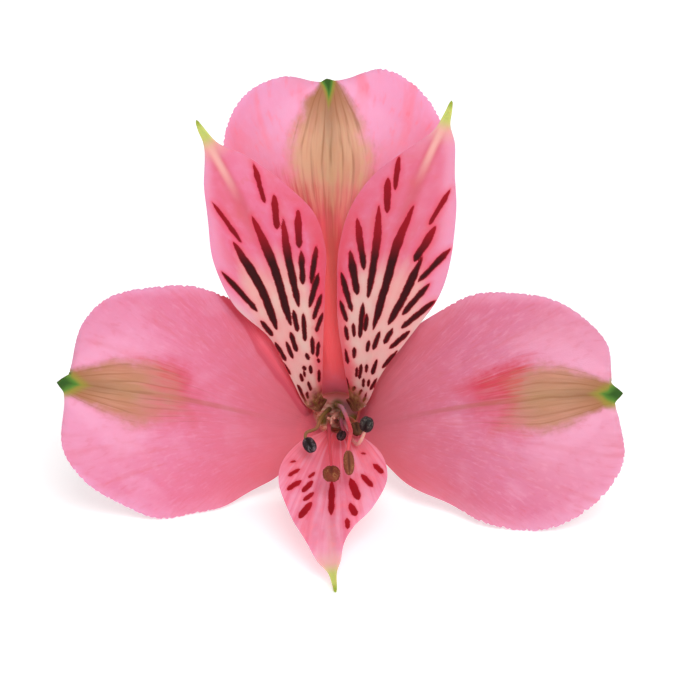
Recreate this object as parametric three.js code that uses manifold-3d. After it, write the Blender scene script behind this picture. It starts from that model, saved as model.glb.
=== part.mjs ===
// One open alstroemeria bloom, picked with its own flower stalk and lying at rest.
// Millimetres, +Z up. Six free tepals (three broad outer ones, three narrow inner ones) and six
// stamens stand on top of a small ribbed ovary, and the flower stalk carries the ovary from behind.
//
// Flower frame, in which every piece is drawn: x goes across to the right, up goes up the face, and
// forward goes out of the face towards whoever looks into the bloom. Its origin is the middle of the
// ovary's top, where tepals, stamens and style all stand.
import Module from 'manifold-3d';
import * as THREE from 'three';
import { mergeVertices } from 'three/addons/utils/BufferGeometryUtils.js';

const wasm = await Module();
wasm.setup();

// ---- driving dimensions ----
const FACE_TILT = 22;           // degrees that the face looks up from the horizontal as the bloom lies
const REST_PLACE = [-0.72, -3.12, 6.75];  // the ovary's top, measured from the middle of the footprint

const SEAT_GAP = 0.3;           // air between a piece and the one that carries it
const TEPAL_THICKNESS = 0.6;
const TEPAL_EDGE = 0.3;         // thickness of a tepal at its rim
const TEPAL_COLUMNS = 12;       // facets across a tepal
const ROWS_PER_RIB = 2;         // facets along a tepal from one rib to the next

const OVARY_LENGTH = 8.6;
const OVARY_RADIUS = 3.5;
const OVARY_RIBS = 6;
const OVARY_RIB_DEPTH = 0.07;   // share of the radius

const STALK_DIAMETER = 2.2;
const STALK_STRAIGHT = 1.2;     // from the ovary to the start of the bend
const STALK_TAIL = 34;          // the stretch that lies on the surface
const STALK_SWAY = 5;           // how far the tail wanders sideways

const FILAMENT_DIAMETER = 0.7;
const STYLE_DIAMETER = 0.7;
const STIGMA_LOBES = 3;
const STIGMA_LOBE_LENGTH = 0.9;
const STIGMA_LOBE_DIAMETER = 0.4;
const STIGMA_SPREAD = 35;       // degrees that each lobe leans away from the style
const STAMEN_RING_RADIUS = 1.2; // the six filaments stand on this circle round the style

const BAR_SIDES = 8;            // facets round a filament or the style
const BAR_STEPS = 6;            // facets along a filament from one point of its way to the next
const STALK_SIDES = 12;
const STALK_STEPS = 30;

const COLOURS = {
  outer: 0xe98bac,
  inner: 0xf29ab8,
  ovary: 0x7f8f4a,
  stalk: 0x8a8a4c,
  filament: 0xd8848c,
  style: 0xc98a7c,
};
const ROUGHNESS = { tepal: 0.6, green: 0.55, thread: 0.6, anther: 0.8 };

// ---- the tepals ----
// A tepal is drawn as cross ribs from its seat on the ovary to its tip. Each rib gives the tepal's
// midrib, its left edge and its right edge, as seen looking out along the tepal: [across, up, forward].
const OUTER_TOP_RIBS = [
  [[0, 3.1, 0.3], [-2, 2.6, 0.3], [2, 2.6, 0.3]],
  [[0, 4, 5.5], [-2.6, 3.4, 5.5], [2.6, 3.4, 5.5]],
  [[-0.1, 6.1, 10], [-2.9, 6.1, 9.6], [2.9, 6.1, 9.6]],
  [[-0.3, 10.8, 14], [-5.4, 11.5, 13], [5.1, 11.5, 13]],
  [[-0.5, 18.5, 17], [-9.6, 19.5, 15.6], [9.2, 19.5, 15.6]],
  [[-0.7, 27, 19], [-14, 28, 17], [13.6, 28, 17]],
  [[-0.8, 34.5, 20], [-16.2, 35.3, 17.5], [15.5, 35.6, 17.5]],
  [[-0.9, 40.2, 20.2], [-15.4, 41.2, 17.3], [14.7, 41.8, 17.3]],
  [[-1, 43.6, 20], [-12.4, 45.9, 17], [11.5, 46.7, 17]],
  [[-1, 45.8, 19.6], [-7.6, 48, 17.5], [6.7, 49.1, 17.4]],
  [[-1.1, 46.6, 19.3], [-3.5, 47.2, 18.3], [1.8, 47.6, 18.3]],
  [[-1.2, 47.1, 19.1], [-2.3, 46.9, 18.9], [-0.1, 47.1, 18.9]],
  [[-1.3, 47.7, 18.8], [-1.5, 47.6, 18.8], [-1.1, 47.6, 18.8]],
];

const OUTER_LEFT_RIBS = [
  [[-2.8, -1.4, 0.3], [-1.75, -2.7, 0.3], [-3.3, 0.6, 0.3]],
  [[-3.7, -1.6, 5.5], [-2.3, -3.5, 5.5], [-4.3, 1.2, 5.2]],
  [[-5.2, -1.4, 10.5], [-5, -5, 9.5], [-5, 2.9, 8.4]],
  [[-9, -0.5, 15], [-9, -9, 12], [-7.3, 9, 11.4]],
  [[-14, 0.7, 18.8], [-14.2, -12.1, 14.4], [-11, 14.2, 13.8]],
  [[-20, 2.1, 22], [-19.8, -14, 17.1], [-16.2, 17, 16.4]],
  [[-25.8, 3.1, 24.5], [-25.4, -14.5, 18.7], [-22.2, 18.5, 19]],
  [[-30.8, 3.9, 26.2], [-30.8, -12.4, 20.4], [-28.1, 17.8, 21]],
  [[-34.3, 4.3, 27], [-35.4, -9.1, 22.4], [-32.9, 15.9, 22.8]],
  [[-36.2, 4.5, 27.3], [-38.3, -4.5, 24.4], [-35.7, 12.6, 24.6]],
  [[-37, 4.6, 27.4], [-37.8, 1.7, 26.4], [-36.7, 7.5, 26.2]],
  [[-37.7, 4.7, 27.4], [-37.8, 3.3, 27.1], [-36.7, 6.2, 27]],
  [[-38.9, 4.7, 27.4], [-38.8, 4.5, 27.4], [-38.8, 4.9, 27.4]],
];

const OUTER_RIGHT_RIBS = [
  [[2.8, -1.4, 0.3], [3.3, 0.6, 0.3], [1.75, -2.7, 0.3]],
  [[3.7, -1.6, 5.5], [4.3, 1.2, 5.2], [2.3, -3.5, 5.5]],
  [[5.2, -1.4, 10.5], [4.8, 3, 8.4], [5, -4.9, 9.8]],
  [[9, -0.6, 15], [7.7, 9.1, 11.6], [9.2, -9.1, 14]],
  [[14, 0.5, 18.8], [12.1, 12.9, 14.4], [15, -12.1, 17.8]],
  [[20, 1.5, 22], [18.2, 16.7, 17.4], [21, -15.1, 21.4]],
  [[26, 2.3, 24.5], [24.4, 17.5, 20], [27.4, -16.3, 22.4]],
  [[31.4, 2.9, 26.2], [30.4, 16.2, 22], [33.2, -14.6, 23.2]],
  [[35.4, 3.1, 27], [35.3, 13.4, 23.8], [37.6, -11.2, 24.2]],
  [[37.2, 3.1, 27.3], [38.1, 9.9, 25.4], [40.3, -6.1, 25.4]],
  [[38, 3, 27.4], [38.4, 6.1, 26.4], [39.5, -0.9, 26.4]],
  [[38.7, 3.1, 27.4], [38.4, 4.6, 27.1], [38.7, 1.7, 27.1]],
  [[40, 3.2, 27.4], [39.9, 3.4, 27.4], [39.9, 3, 27.4]],
];

const INNER_LEFT_RIBS = [
  [[-2, 1.15, 0.3], [-2.4, 0.25, 0.3], [-1.4, 2, 0.3]],
  [[-2.7, 1.6, 5.5], [-3.3, 0.5, 5.7], [-2, 2.5, 5.7]],
  [[-3.5, 2.8, 10], [-4.7, 1.7, 10.4], [-2.1, 3.8, 10.2]],
  [[-4.4, 6.2, 14], [-6.6, 5.6, 14], [-2, 7, 14]],
  [[-5.9, 11.2, 17], [-9.4, 10.8, 17], [-1.8, 12, 16.8]],
  [[-7.9, 17.2, 19.6], [-14.6, 15.9, 19.4], [-1.6, 18, 19]],
  [[-10, 22.8, 21.6], [-17.2, 21.4, 21], [-1.5, 23.4, 20.8]],
  [[-12.4, 28, 23.4], [-18, 27, 22.8], [-3, 28.3, 22.6]],
  [[-14.6, 32.4, 25], [-18.4, 31.8, 24.4], [-7, 32.4, 24.4]],
  [[-16.6, 36, 26.4], [-18.2, 35.4, 26], [-12, 36, 26]],
  [[-17.8, 38.4, 27.6], [-18.5, 38.1, 27.4], [-16.6, 38.2, 27.4]],
  [[-18.7, 39.8, 28.1], [-19.1, 39.6, 28], [-18.2, 39.9, 28]],
  [[-19.4, 41.2, 28.4], [-19.6, 41.1, 28.4], [-19.2, 41.2, 28.4]],
];

const INNER_RIGHT_RIBS = [
  [[2, 1.15, 0.3], [1.4, 2, 0.3], [2.4, 0.25, 0.3]],
  [[2.7, 1.6, 5.5], [1.9, 2.5, 5.7], [3.3, 0.5, 5.7]],
  [[3.4, 2.9, 10], [1.7, 3.9, 10.2], [4.5, 1.8, 10.4]],
  [[4.1, 6.4, 14], [1.1, 7.2, 14], [6.5, 5.9, 14]],
  [[5, 11.5, 17], [0.4, 12.2, 16.8], [10.2, 10.9, 16.8]],
  [[6.3, 17.2, 19.6], [0.1, 18, 19], [14.3, 16.3, 19]],
  [[7.8, 22.8, 21.6], [0.4, 23.4, 20.8], [16.2, 22.2, 20.6]],
  [[9.8, 28.4, 23.4], [1.9, 28.9, 22.6], [16.8, 28.4, 22.2]],
  [[11.9, 33.6, 25.2], [5.2, 33.7, 24.4], [16.8, 33.6, 23.8]],
  [[13.7, 37.8, 26.6], [9.4, 36.9, 26], [16.5, 38, 25.6]],
  [[14.9, 40.4, 27.6], [13.6, 39.8, 27.4], [15.9, 40.5, 27.2]],
  [[15.6, 42.1, 28.1], [15, 42, 28], [16.1, 42.1, 28]],
  [[16.1, 43.9, 28.4], [15.9, 43.9, 28.4], [16.3, 43.9, 28.4]],
];

const INNER_LOWER_RIBS = [
  [[0, -2.3, 0.3], [1, -2.1, 0.3], [-1, -2.1, 0.3]],
  [[0, -2.6, 6], [1.4, -2.2, 6.2], [-1.4, -2.2, 6.2]],
  [[0, -2.9, 12], [1.7, -2.4, 12.6], [-1.8, -2.4, 12.6]],
  [[0, -4, 18], [4.2, -3.4, 18.4], [-4.6, -3.6, 18.4]],
  [[-0.2, -6.2, 23], [6.7, -6, 23.4], [-7.4, -6.2, 23.4]],
  [[-0.4, -9, 27], [7.1, -9, 27.2], [-8, -9.2, 27.2]],
  [[-0.6, -12, 30.4], [5.2, -12.4, 30.4], [-6.8, -12.4, 30.4]],
  [[-0.7, -14.8, 33.4], [2.6, -14.9, 33.2], [-5.5, -15, 33.2]],
  [[-0.6, -17.4, 36.2], [1.2, -17.2, 36], [-3.9, -17.4, 36]],
  [[-0.5, -19.7, 38.4], [0.7, -19.4, 38.2], [-2.5, -19.6, 38.2]],
  [[-0.4, -21.1, 39.6], [0.2, -21.1, 39.5], [-1.1, -21, 39.5]],
  [[0, -23.6, 41], [0.2, -23.6, 41], [-0.2, -23.6, 41]],
];

// ---- the stamens and the style ----
// A stamen stands at an azimuth on the ring (0 is to the right, 90 is up), its filament passes through
// the points of its way, and its anther has a middle, a direction that it points in, and a size.
const STAMENS = [
  {
    azimuth: 150,
    way: [[-1.6, 0.2, 8], [-2.3, -0.7, 15], [-2.9, -1.9, 20.3], [-4.15, -2.4, 22.5]],
    anther: { middle: [-3.7, -4.05, 24.8], points: [0.35, -0.6, 0.7], size: [1.8, 2.8], colour: 0x4a3038 },
  },
  {
    azimuth: 270,
    way: [[0.5, -1.5, 8], [1, -1.8, 13.5], [1.45, -2.5, 17.4], [2.3, -3.45, 19.9], [3.05, -4.05, 21.7]],
    anther: { middle: [4.27, -1.15, 26], points: [0.15, 0.62, 0.77], size: [2, 2.8], colour: 0x43343a },
  },
  {
    azimuth: 30,
    way: [[0.8, 0.2, 9], [0.7, -0.8, 14], [0.85, -1.6, 18]],
    anther: { middle: [0.75, -2.8, 21.6], points: [-0.2, -0.4, 0.9], size: [1.3, 2.4], colour: 0x3a2026 },
  },
  {
    azimuth: 90,
    way: [[0.1, 1.3, 8], [0.9, 0.9, 14], [1.8, -1.2, 19.5], [2.1, -2.2, 24.6], [1.9, -3, 29.4]],
    anther: { middle: [1.8, -6.35, 31], points: [0.05, -0.95, 0.3], size: [1.5, 3.6], colour: 0x8a6040 },
  },
  {
    azimuth: 210,
    way: [[-1.1, -1.1, 9], [-1, -2.3, 16.5], [-0.9, -3.9, 25], [-0.7, -5.9, 30]],
    anther: { middle: [-0.6, -7.8, 33.6], points: [0, -0.4, 0.9], size: [2.3, 2.9], colour: 0x7c5038 },
  },
  {
    azimuth: 330,
    way: [[1.6, -0.5, 8], [2.2, -0.7, 13]],
    anther: { middle: [2.9, -1.95, 17.8], points: [0.15, -0.5, 0.8], size: [1.7, 2.8], colour: 0x6c4a30 },
  },
];
const STYLE_WAY = [[0, 0, 8], [-0.3, -0.3, 12], [-0.7, -0.7, 15]];

// ---- helpers ----

// The flower frame's [across, up, forward] as a point of the bloom's group, whose face looks along -Y.
function inBloom([across, up, forward]) {
  return new THREE.Vector3(across, -forward, up);
}

function finish(colour, roughness) {
  return new THREE.MeshStandardMaterial({ color: colour, roughness, metalness: 0 });
}

// A bar of round section along a curve, with flat ends.
function roundBar(curve, diameter, sides, steps) {
  const section = new THREE.Shape();
  for (let i = 0; i < sides; i += 1) {
    const angle = (i / sides) * 2 * Math.PI;
    const point = [Math.cos(angle) * diameter / 2, Math.sin(angle) * diameter / 2];
    if (i === 0) section.moveTo(...point);
    else section.lineTo(...point);
  }
  section.closePath();
  return new THREE.ExtrudeGeometry(section, { extrudePath: curve, steps, bevelEnabled: false });
}

// Closed meshes that run into each other, as one closed mesh.
function joined(geometries) {
  const [first, ...others] = geometries.map((geometry) => {
    const bare = geometry.clone();
    bare.deleteAttribute('normal');
    bare.deleteAttribute('uv');
    const merged = mergeVertices(bare);
    const mesh = new wasm.Mesh({
      numProp: 3,
      vertProperties: merged.attributes.position.array,
      triVerts: new Uint32Array(merged.index.array),
    });
    return new wasm.Manifold(mesh);
  });
  const whole = others.reduce((sum, other) => sum.add(other), first).getMesh();
  const result = new THREE.BufferGeometry();
  result.setAttribute('position', new THREE.BufferAttribute(whole.vertProperties, 3));
  result.setIndex(new THREE.BufferAttribute(whole.triVerts, 1));
  result.computeVertexNormals();
  return result;
}

// The point of a tepal between two ribs: along runs from 0 at the seat to 1 at the tip, and side from
// -1 at the right edge to 1 at the left edge, on a parabola through the two edges and the midrib.
function tepalPoint(rails, along, side) {
  const [midrib, left, right] = rails.map((rail) => rail.getPoint(along));
  return midrib.multiplyScalar(1 - side * side)
    .addScaledVector(left, (side * side + side) / 2)
    .addScaledVector(right, (side * side - side) / 2);
}

// A closed skin from two grids of positions, its front face's and then its back face's, with a rim
// between them all round.
function closedSkin(positions, rows, columns) {
  const indices = [];
  const quad = (a, b, c, d) => indices.push(a, b, c, a, c, d);
  const front = (row, column) => row * (columns + 1) + column;
  const back = (row, column) => (rows + 1) * (columns + 1) + front(row, column);
  for (let row = 0; row < rows; row += 1) {
    for (let column = 0; column < columns; column += 1) {
      quad(front(row, column), front(row + 1, column), front(row + 1, column + 1), front(row, column + 1));
      quad(back(row, column), back(row, column + 1), back(row + 1, column + 1), back(row + 1, column));
    }
    quad(front(row, 0), back(row, 0), back(row + 1, 0), front(row + 1, 0));
    quad(front(row, columns), front(row + 1, columns), back(row + 1, columns), back(row, columns));
  }
  for (let column = 0; column < columns; column += 1) {
    quad(front(0, column), front(0, column + 1), back(0, column + 1), back(0, column));
    quad(front(rows, column), back(rows, column), back(rows, column + 1), front(rows, column + 1));
  }
  const geometry = new THREE.BufferGeometry();
  geometry.setAttribute('position', new THREE.Float32BufferAttribute(positions, 3));
  geometry.setIndex(indices);
  geometry.computeVertexNormals();
  return geometry;
}

// ---- sub-parts ----

// A tepal: a thin closed skin, thickest in its middle, laid half in front of and half behind the
// surface through its ribs.
function tepalGeometry(ribs) {
  const rails = [0, 1, 2].map((rail) => new THREE.CatmullRomCurve3(ribs.map((rib) => inBloom(rib[rail]))));
  const rows = (ribs.length - 1) * ROWS_PER_RIB;
  const columns = TEPAL_COLUMNS;
  const at = (row, column) => tepalPoint(rails, row / rows, 2 * column / columns - 1);
  const within = (value, highest) => Math.min(Math.max(value, 0), highest);

  const positions = [];
  for (const face of [1, -1]) {
    for (let row = 0; row <= rows; row += 1) {
      for (let column = 0; column <= columns; column += 1) {
        const alongWay = at(within(row + 1, rows), column).sub(at(within(row - 1, rows), column));
        const sideWay = at(row, within(column + 1, columns)).sub(at(row, within(column - 1, columns)));
        const normal = alongWay.cross(sideWay).normalize();
        const side = 2 * column / columns - 1;
        const thickness = TEPAL_THICKNESS + (TEPAL_EDGE - TEPAL_THICKNESS) * side ** 4;
        positions.push(...at(row, column).addScaledVector(normal, face * thickness / 2).toArray());
      }
    }
  }
  return closedSkin(positions, rows, columns);
}

// The ovary: a top-shaped body with six ribs, its flat top under the tepals, its lower end on the stalk.
function ovaryGeometry() {
  const profile = [
    [0, 0], [0.92, 0], [0.98, 0.03], [1, 0.1], [0.97, 0.28], [0.87, 0.48],
    [0.7, 0.68], [0.52, 0.84], [0.4, 0.95], [0.36, 1], [0, 1],
  ].map(([radius, depth]) => new THREE.Vector2(radius * OVARY_RADIUS, -depth * OVARY_LENGTH));
  const geometry = new THREE.LatheGeometry(profile.reverse(), OVARY_RIBS * 6);
  const position = geometry.attributes.position;
  for (let i = 0; i < position.count; i += 1) {
    const angle = Math.atan2(position.getZ(i), position.getX(i));
    const swell = 1 + OVARY_RIB_DEPTH * (Math.cos(OVARY_RIBS * angle) - 1) / 2;
    position.setXYZ(i, position.getX(i) * swell, position.getY(i), position.getZ(i) * swell);
  }
  geometry.computeVertexNormals();
  return geometry.rotateX(Math.PI);
}

// The flower stalk: straight back from the ovary, bent until it is level, then flat on the surface.
function stalkGeometry() {
  const tilt = THREE.MathUtils.degToRad(FACE_TILT);
  const start = -OVARY_LENGTH - SEAT_GAP;
  const bendStart = start - STALK_STRAIGHT;
  const drop = REST_PLACE[2] + bendStart * Math.sin(tilt) - STALK_DIAMETER / 2;
  const bendRadius = drop / (1 - Math.cos(tilt));
  const points = [[0, 0, start], [0, 0, start - STALK_STRAIGHT / 2], [0, 0, bendStart]];
  for (const share of [0.25, 0.5, 0.75, 1]) {
    const angle = share * tilt;
    points.push([0, bendRadius * (1 - Math.cos(angle)), bendStart - bendRadius * Math.sin(angle)]);
  }
  const [, bendUp, bendForward] = points.at(-1);
  for (const share of [0.15, 0.3, 0.45, 0.6, 0.8, 1]) {
    const run = share * STALK_TAIL;
    const sway = STALK_SWAY * share ** 2;
    points.push([sway, bendUp + run * Math.sin(tilt), bendForward - run * Math.cos(tilt)]);
  }
  const curve = new THREE.CatmullRomCurve3(points.map(inBloom));
  return roundBar(curve, STALK_DIAMETER, STALK_SIDES, STALK_STEPS);
}

// A filament: a thin bar from its place on the ring to just short of its anther's foot.
function filamentGeometry(stamen) {
  const azimuth = THREE.MathUtils.degToRad(stamen.azimuth);
  const foot = [STAMEN_RING_RADIUS * Math.cos(azimuth), STAMEN_RING_RADIUS * Math.sin(azimuth), SEAT_GAP];
  const { middle, points, size } = stamen.anther;
  const end = inBloom(middle).addScaledVector(inBloom(points).normalize(), -size[1] / 2 - SEAT_GAP);
  const curve = new THREE.CatmullRomCurve3([inBloom(foot), ...stamen.way.map(inBloom), end]);
  return roundBar(curve, FILAMENT_DIAMETER, BAR_SIDES, BAR_STEPS * stamen.way.length);
}

// The style: a thin bar up the middle of the stamens, ending in short stigma lobes that spread apart.
function styleGeometry() {
  const curve = new THREE.CatmullRomCurve3([[0, 0, SEAT_GAP], ...STYLE_WAY].map(inBloom));
  const tip = curve.getPoint(1);
  const onward = curve.getTangent(1);
  const aside = new THREE.Vector3(1, 0, 0).cross(onward).normalize();
  const lean = THREE.MathUtils.degToRad(STIGMA_SPREAD);
  const bars = [roundBar(curve, STYLE_DIAMETER, BAR_SIDES, BAR_STEPS * STYLE_WAY.length)];
  for (let i = 0; i < STIGMA_LOBES; i += 1) {
    const outward = aside.clone().applyAxisAngle(onward, (i / STIGMA_LOBES) * 2 * Math.PI);
    const way = onward.clone().multiplyScalar(Math.cos(lean)).addScaledVector(outward, Math.sin(lean));
    const foot = tip.clone().addScaledVector(onward, -STYLE_DIAMETER / 2);
    const end = foot.clone().addScaledVector(way, STIGMA_LOBE_LENGTH);
    bars.push(roundBar(new THREE.LineCurve3(foot, end), STIGMA_LOBE_DIAMETER, BAR_SIDES, 1));
  }
  return joined(bars);
}

// An anther: a plump oval, longer than it is wide, set on its filament by its foot.
function antherMesh(stamen, name) {
  const { middle, points, size, colour } = stamen.anther;
  const [width, length] = size;
  const geometry = new THREE.SphereGeometry(0.5, 12, 8);
  geometry.scale(width, length, width);
  const mesh = new THREE.Mesh(geometry, finish(colour, ROUGHNESS.anther));
  mesh.name = name;
  mesh.position.copy(inBloom(middle));
  mesh.quaternion.setFromUnitVectors(new THREE.Vector3(0, 1, 0), inBloom(points).normalize());
  return mesh;
}

// ---- the bloom ----

const bloom = new THREE.Group();

function addPiece(name, geometry, material) {
  const mesh = new THREE.Mesh(geometry, material);
  mesh.name = name;
  bloom.add(mesh);
}

const TEPALS = {
  outer_tepal_top: [OUTER_TOP_RIBS, COLOURS.outer],
  outer_tepal_left: [OUTER_LEFT_RIBS, COLOURS.outer],
  outer_tepal_right: [OUTER_RIGHT_RIBS, COLOURS.outer],
  inner_tepal_left: [INNER_LEFT_RIBS, COLOURS.inner],
  inner_tepal_right: [INNER_RIGHT_RIBS, COLOURS.inner],
  inner_tepal_lower: [INNER_LOWER_RIBS, COLOURS.inner],
};
for (const [name, [ribs, colour]] of Object.entries(TEPALS)) {
  addPiece(name, tepalGeometry(ribs), finish(colour, ROUGHNESS.tepal));
}
addPiece('ovary', ovaryGeometry(), finish(COLOURS.ovary, ROUGHNESS.green));
addPiece('flower_stalk', stalkGeometry(), finish(COLOURS.stalk, ROUGHNESS.green));
addPiece('style', styleGeometry(), finish(COLOURS.style, ROUGHNESS.thread));
STAMENS.forEach((stamen, index) => {
  addPiece(`filament_${index + 1}`, filamentGeometry(stamen), finish(COLOURS.filament, ROUGHNESS.thread));
  bloom.add(antherMesh(stamen, `anther_${index + 1}`));
});

bloom.rotation.x = -THREE.MathUtils.degToRad(FACE_TILT);
bloom.position.set(...REST_PLACE);
const whole = new THREE.Group();
whole.add(bloom);

export default whole;
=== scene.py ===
# An open alstroemeria bloom, picked with its own flower stalk and lying with its face tilted up.
# Tables of places are in millimetres in the flower's own frame: across to the right, up the face, and
# forward out of the face, from the middle of the ovary's top. Meshes are in metres in the row's frame.
import math
from functools import partialmethod
from types import SimpleNamespace

import bpy
import numpy as np
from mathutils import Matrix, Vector, noise


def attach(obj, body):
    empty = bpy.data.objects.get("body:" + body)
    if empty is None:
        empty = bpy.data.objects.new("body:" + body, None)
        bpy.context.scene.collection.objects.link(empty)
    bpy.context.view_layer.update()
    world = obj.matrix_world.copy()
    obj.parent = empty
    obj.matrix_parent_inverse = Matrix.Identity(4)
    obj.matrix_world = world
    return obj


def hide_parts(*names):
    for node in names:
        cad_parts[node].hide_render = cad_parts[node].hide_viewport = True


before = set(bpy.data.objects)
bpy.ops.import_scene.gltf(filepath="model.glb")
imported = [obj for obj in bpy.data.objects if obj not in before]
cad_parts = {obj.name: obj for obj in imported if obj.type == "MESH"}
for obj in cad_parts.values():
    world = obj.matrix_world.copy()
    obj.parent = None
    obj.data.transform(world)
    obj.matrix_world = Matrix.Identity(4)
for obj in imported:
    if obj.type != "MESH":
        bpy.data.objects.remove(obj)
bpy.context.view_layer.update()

# ---- the outer tepals ----
# The three broad outer petals: thin, moist tissue with fine veins, grown on top of the ovary by narrow
# claws. Each has a toothed far margin, an olive mark with darker veins, and a thick green tip.
FACE_TILT = math.radians(22)                 # how far the face looks up from the horizontal
OVARY_TOP = np.array([-0.72, -3.12, 6.75])   # mm, in the row's frame
MM_PER_M = 1000

# Each rib is the petal's middle, its left edge and its right edge, as seen looking out along the petal.
OUTER_TOP_RIBS = [
    [[0, 3.1, 0.3], [-2, 2.6, 0.3], [2, 2.6, 0.3]],
    [[0, 4, 5.5], [-2.6, 3.4, 5.5], [2.6, 3.4, 5.5]],
    [[-0.1, 6.1, 10], [-2.9, 6.1, 9.6], [2.9, 6.1, 9.6]],
    [[-0.3, 10.8, 14], [-5.4, 11.5, 13], [5.1, 11.5, 13]],
    [[-0.5, 18.5, 17], [-9.6, 19.5, 15.6], [9.2, 19.5, 15.6]],
    [[-0.7, 27, 19], [-14, 28, 17], [13.6, 28, 17]],
    [[-0.8, 34.5, 20], [-16.2, 35.3, 17.5], [15.5, 35.6, 17.5]],
    [[-0.9, 40.2, 20.2], [-15.4, 41.2, 17.3], [14.7, 41.8, 17.3]],
    [[-1, 43.6, 20], [-12.4, 45.9, 17], [11.5, 46.7, 17]],
    [[-1, 45.8, 19.6], [-7.6, 48, 17.5], [6.7, 49.1, 17.4]],
    [[-1.1, 46.6, 19.3], [-3.5, 47.2, 18.3], [1.8, 47.6, 18.3]],
    [[-1.2, 47.1, 19.1], [-2.3, 46.9, 18.9], [-0.1, 47.1, 18.9]],
    [[-1.3, 47.7, 18.8], [-1.5, 47.6, 18.8], [-1.1, 47.6, 18.8]],
]

OUTER_LEFT_RIBS = [
    [[-2.8, -1.4, 0.3], [-1.75, -2.7, 0.3], [-3.3, 0.6, 0.3]],
    [[-3.7, -1.6, 5.5], [-2.3, -3.5, 5.5], [-4.3, 1.2, 5.2]],
    [[-5.2, -1.4, 10.5], [-5, -5, 9.5], [-5, 2.9, 8.4]],
    [[-9, -0.5, 15], [-9, -9, 12], [-7.3, 9, 11.4]],
    [[-14, 0.7, 18.8], [-14.2, -12.1, 14.4], [-11, 14.2, 13.8]],
    [[-20, 2.1, 22], [-19.8, -14, 17.1], [-16.2, 17, 16.4]],
    [[-25.8, 3.1, 24.5], [-25.4, -14.5, 18.7], [-22.2, 18.5, 19]],
    [[-30.8, 3.9, 26.2], [-30.8, -12.4, 20.4], [-28.1, 17.8, 21]],
    [[-34.3, 4.3, 27], [-35.4, -9.1, 22.4], [-32.9, 15.9, 22.8]],
    [[-36.2, 4.5, 27.3], [-38.3, -4.5, 24.4], [-35.7, 12.6, 24.6]],
    [[-37, 4.6, 27.4], [-37.8, 1.7, 26.4], [-36.7, 7.5, 26.2]],
    [[-37.7, 4.7, 27.4], [-37.8, 3.3, 27.1], [-36.7, 6.2, 27]],
    [[-38.9, 4.7, 27.4], [-38.8, 4.5, 27.4], [-38.8, 4.9, 27.4]],
]

OUTER_RIGHT_RIBS = [
    [[2.8, -1.4, 0.3], [3.3, 0.6, 0.3], [1.75, -2.7, 0.3]],
    [[3.7, -1.6, 5.5], [4.3, 1.2, 5.2], [2.3, -3.5, 5.5]],
    [[5.2, -1.4, 10.5], [4.8, 3, 8.4], [5, -4.9, 9.8]],
    [[9, -0.6, 15], [7.7, 9.1, 11.6], [9.2, -9.1, 14]],
    [[14, 0.5, 18.8], [12.1, 12.9, 14.4], [15, -12.1, 17.8]],
    [[20, 1.5, 22], [18.2, 16.7, 17.4], [21, -15.1, 21.4]],
    [[26, 2.3, 24.5], [24.4, 17.5, 20], [27.4, -16.3, 22.4]],
    [[31.4, 2.9, 26.2], [30.4, 16.2, 22], [33.2, -14.6, 23.2]],
    [[35.4, 3.1, 27], [35.3, 13.4, 23.8], [37.6, -11.2, 24.2]],
    [[37.2, 3.1, 27.3], [38.1, 9.9, 25.4], [40.3, -6.1, 25.4]],
    [[38, 3, 27.4], [38.4, 6.1, 26.4], [39.5, -0.9, 26.4]],
    [[38.7, 3.1, 27.4], [38.4, 4.6, 27.1], [38.7, 1.7, 27.1]],
    [[40, 3.2, 27.4], [39.9, 3.4, 27.4], [39.9, 3, 27.4]],
]

OUTER_GRID = (330, 92)     # rows along the petal, and places across it
# Lengths are in mm.
PETAL_THICKNESS = 0.42
PETAL_EDGE = 0.16          # its thickness at the margin
TIP_THICKNESS = 0.7        # where the petal ends in its fleshy tip
TIP_START = 3.2            # before its end, where it starts to thicken
TIP_FULL = 0.8             # before its end, where it is as thick as that
TIP_ROUNDING = 0.7
OUTLINE_ROUNDING = 0.5
TOOTH_PITCH = 0.8          # from one tooth of the far margin to the next
TOOTH_DEPTH = 0.42
TOOTH_SHARPNESS = 0.75     # below 1 the notches are pointed
TOOTH_STRIP = 0.86         # share of the half width beyond which the sheet is drawn in at a notch
TEETH_BEFORE_TIP = 4
MIDRIB_DEPTH = 0.16        # sunk in the front
MIDRIB_SPREAD = 0.6
KEEL_HEIGHT = 0.22         # of the midrib at the back
KEEL_SPREAD = 0.8
PLEAT_HEIGHT = 0.035
PLEAT_RATE = 95            # radians over a measure of 1 of the fan
SWAY_HEIGHT = 0.13         # of the open sheet's unevenness
FOLD_WIDTH = 4.5           # of the right margin, folded up where a petal has a fold
FOLD_END = 31.5            # along the petal
FOLD_WIDENING = 0.26       # mm per mm from the claw
FOLD_NARROWING = 0.45      # mm per mm towards its end
# the folded margin's band of painted shade and painted light changes over this width
FOLD_EDGE = 2.4            # over which its colour changes
FOLD_HEIGHT = 0.3
FAN_START = 3              # before the claw's end, where the veins spread from
FAN_REACH = 28             # from there, where a measure of 1 over the fan is FAN_WIDTH wide
FAN_WIDTH = 42
FAN_SPREAD = 1.9           # how strongly the veins curve away from the middle; 1 is straight
CLAW_SINK = 0.6            # that a claw's end reaches into the ovary, where it is grown on
CLAW_SUNK = 0.9            # of the claw that are drawn in with it
BACK_RIM = 0.5             # of margin over which the back takes on its own colour
PETAL_CLEARANCE = 0.00003  # m that a petal stays above the surface
MARK_LINE_START = 0.25     # share of the petal from which its mark's middle line runs to the tip
MARK_LINE_STEPS = 500
CREASE = math.radians(58)  # a bend in a mesh is sharp from this angle on


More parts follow.
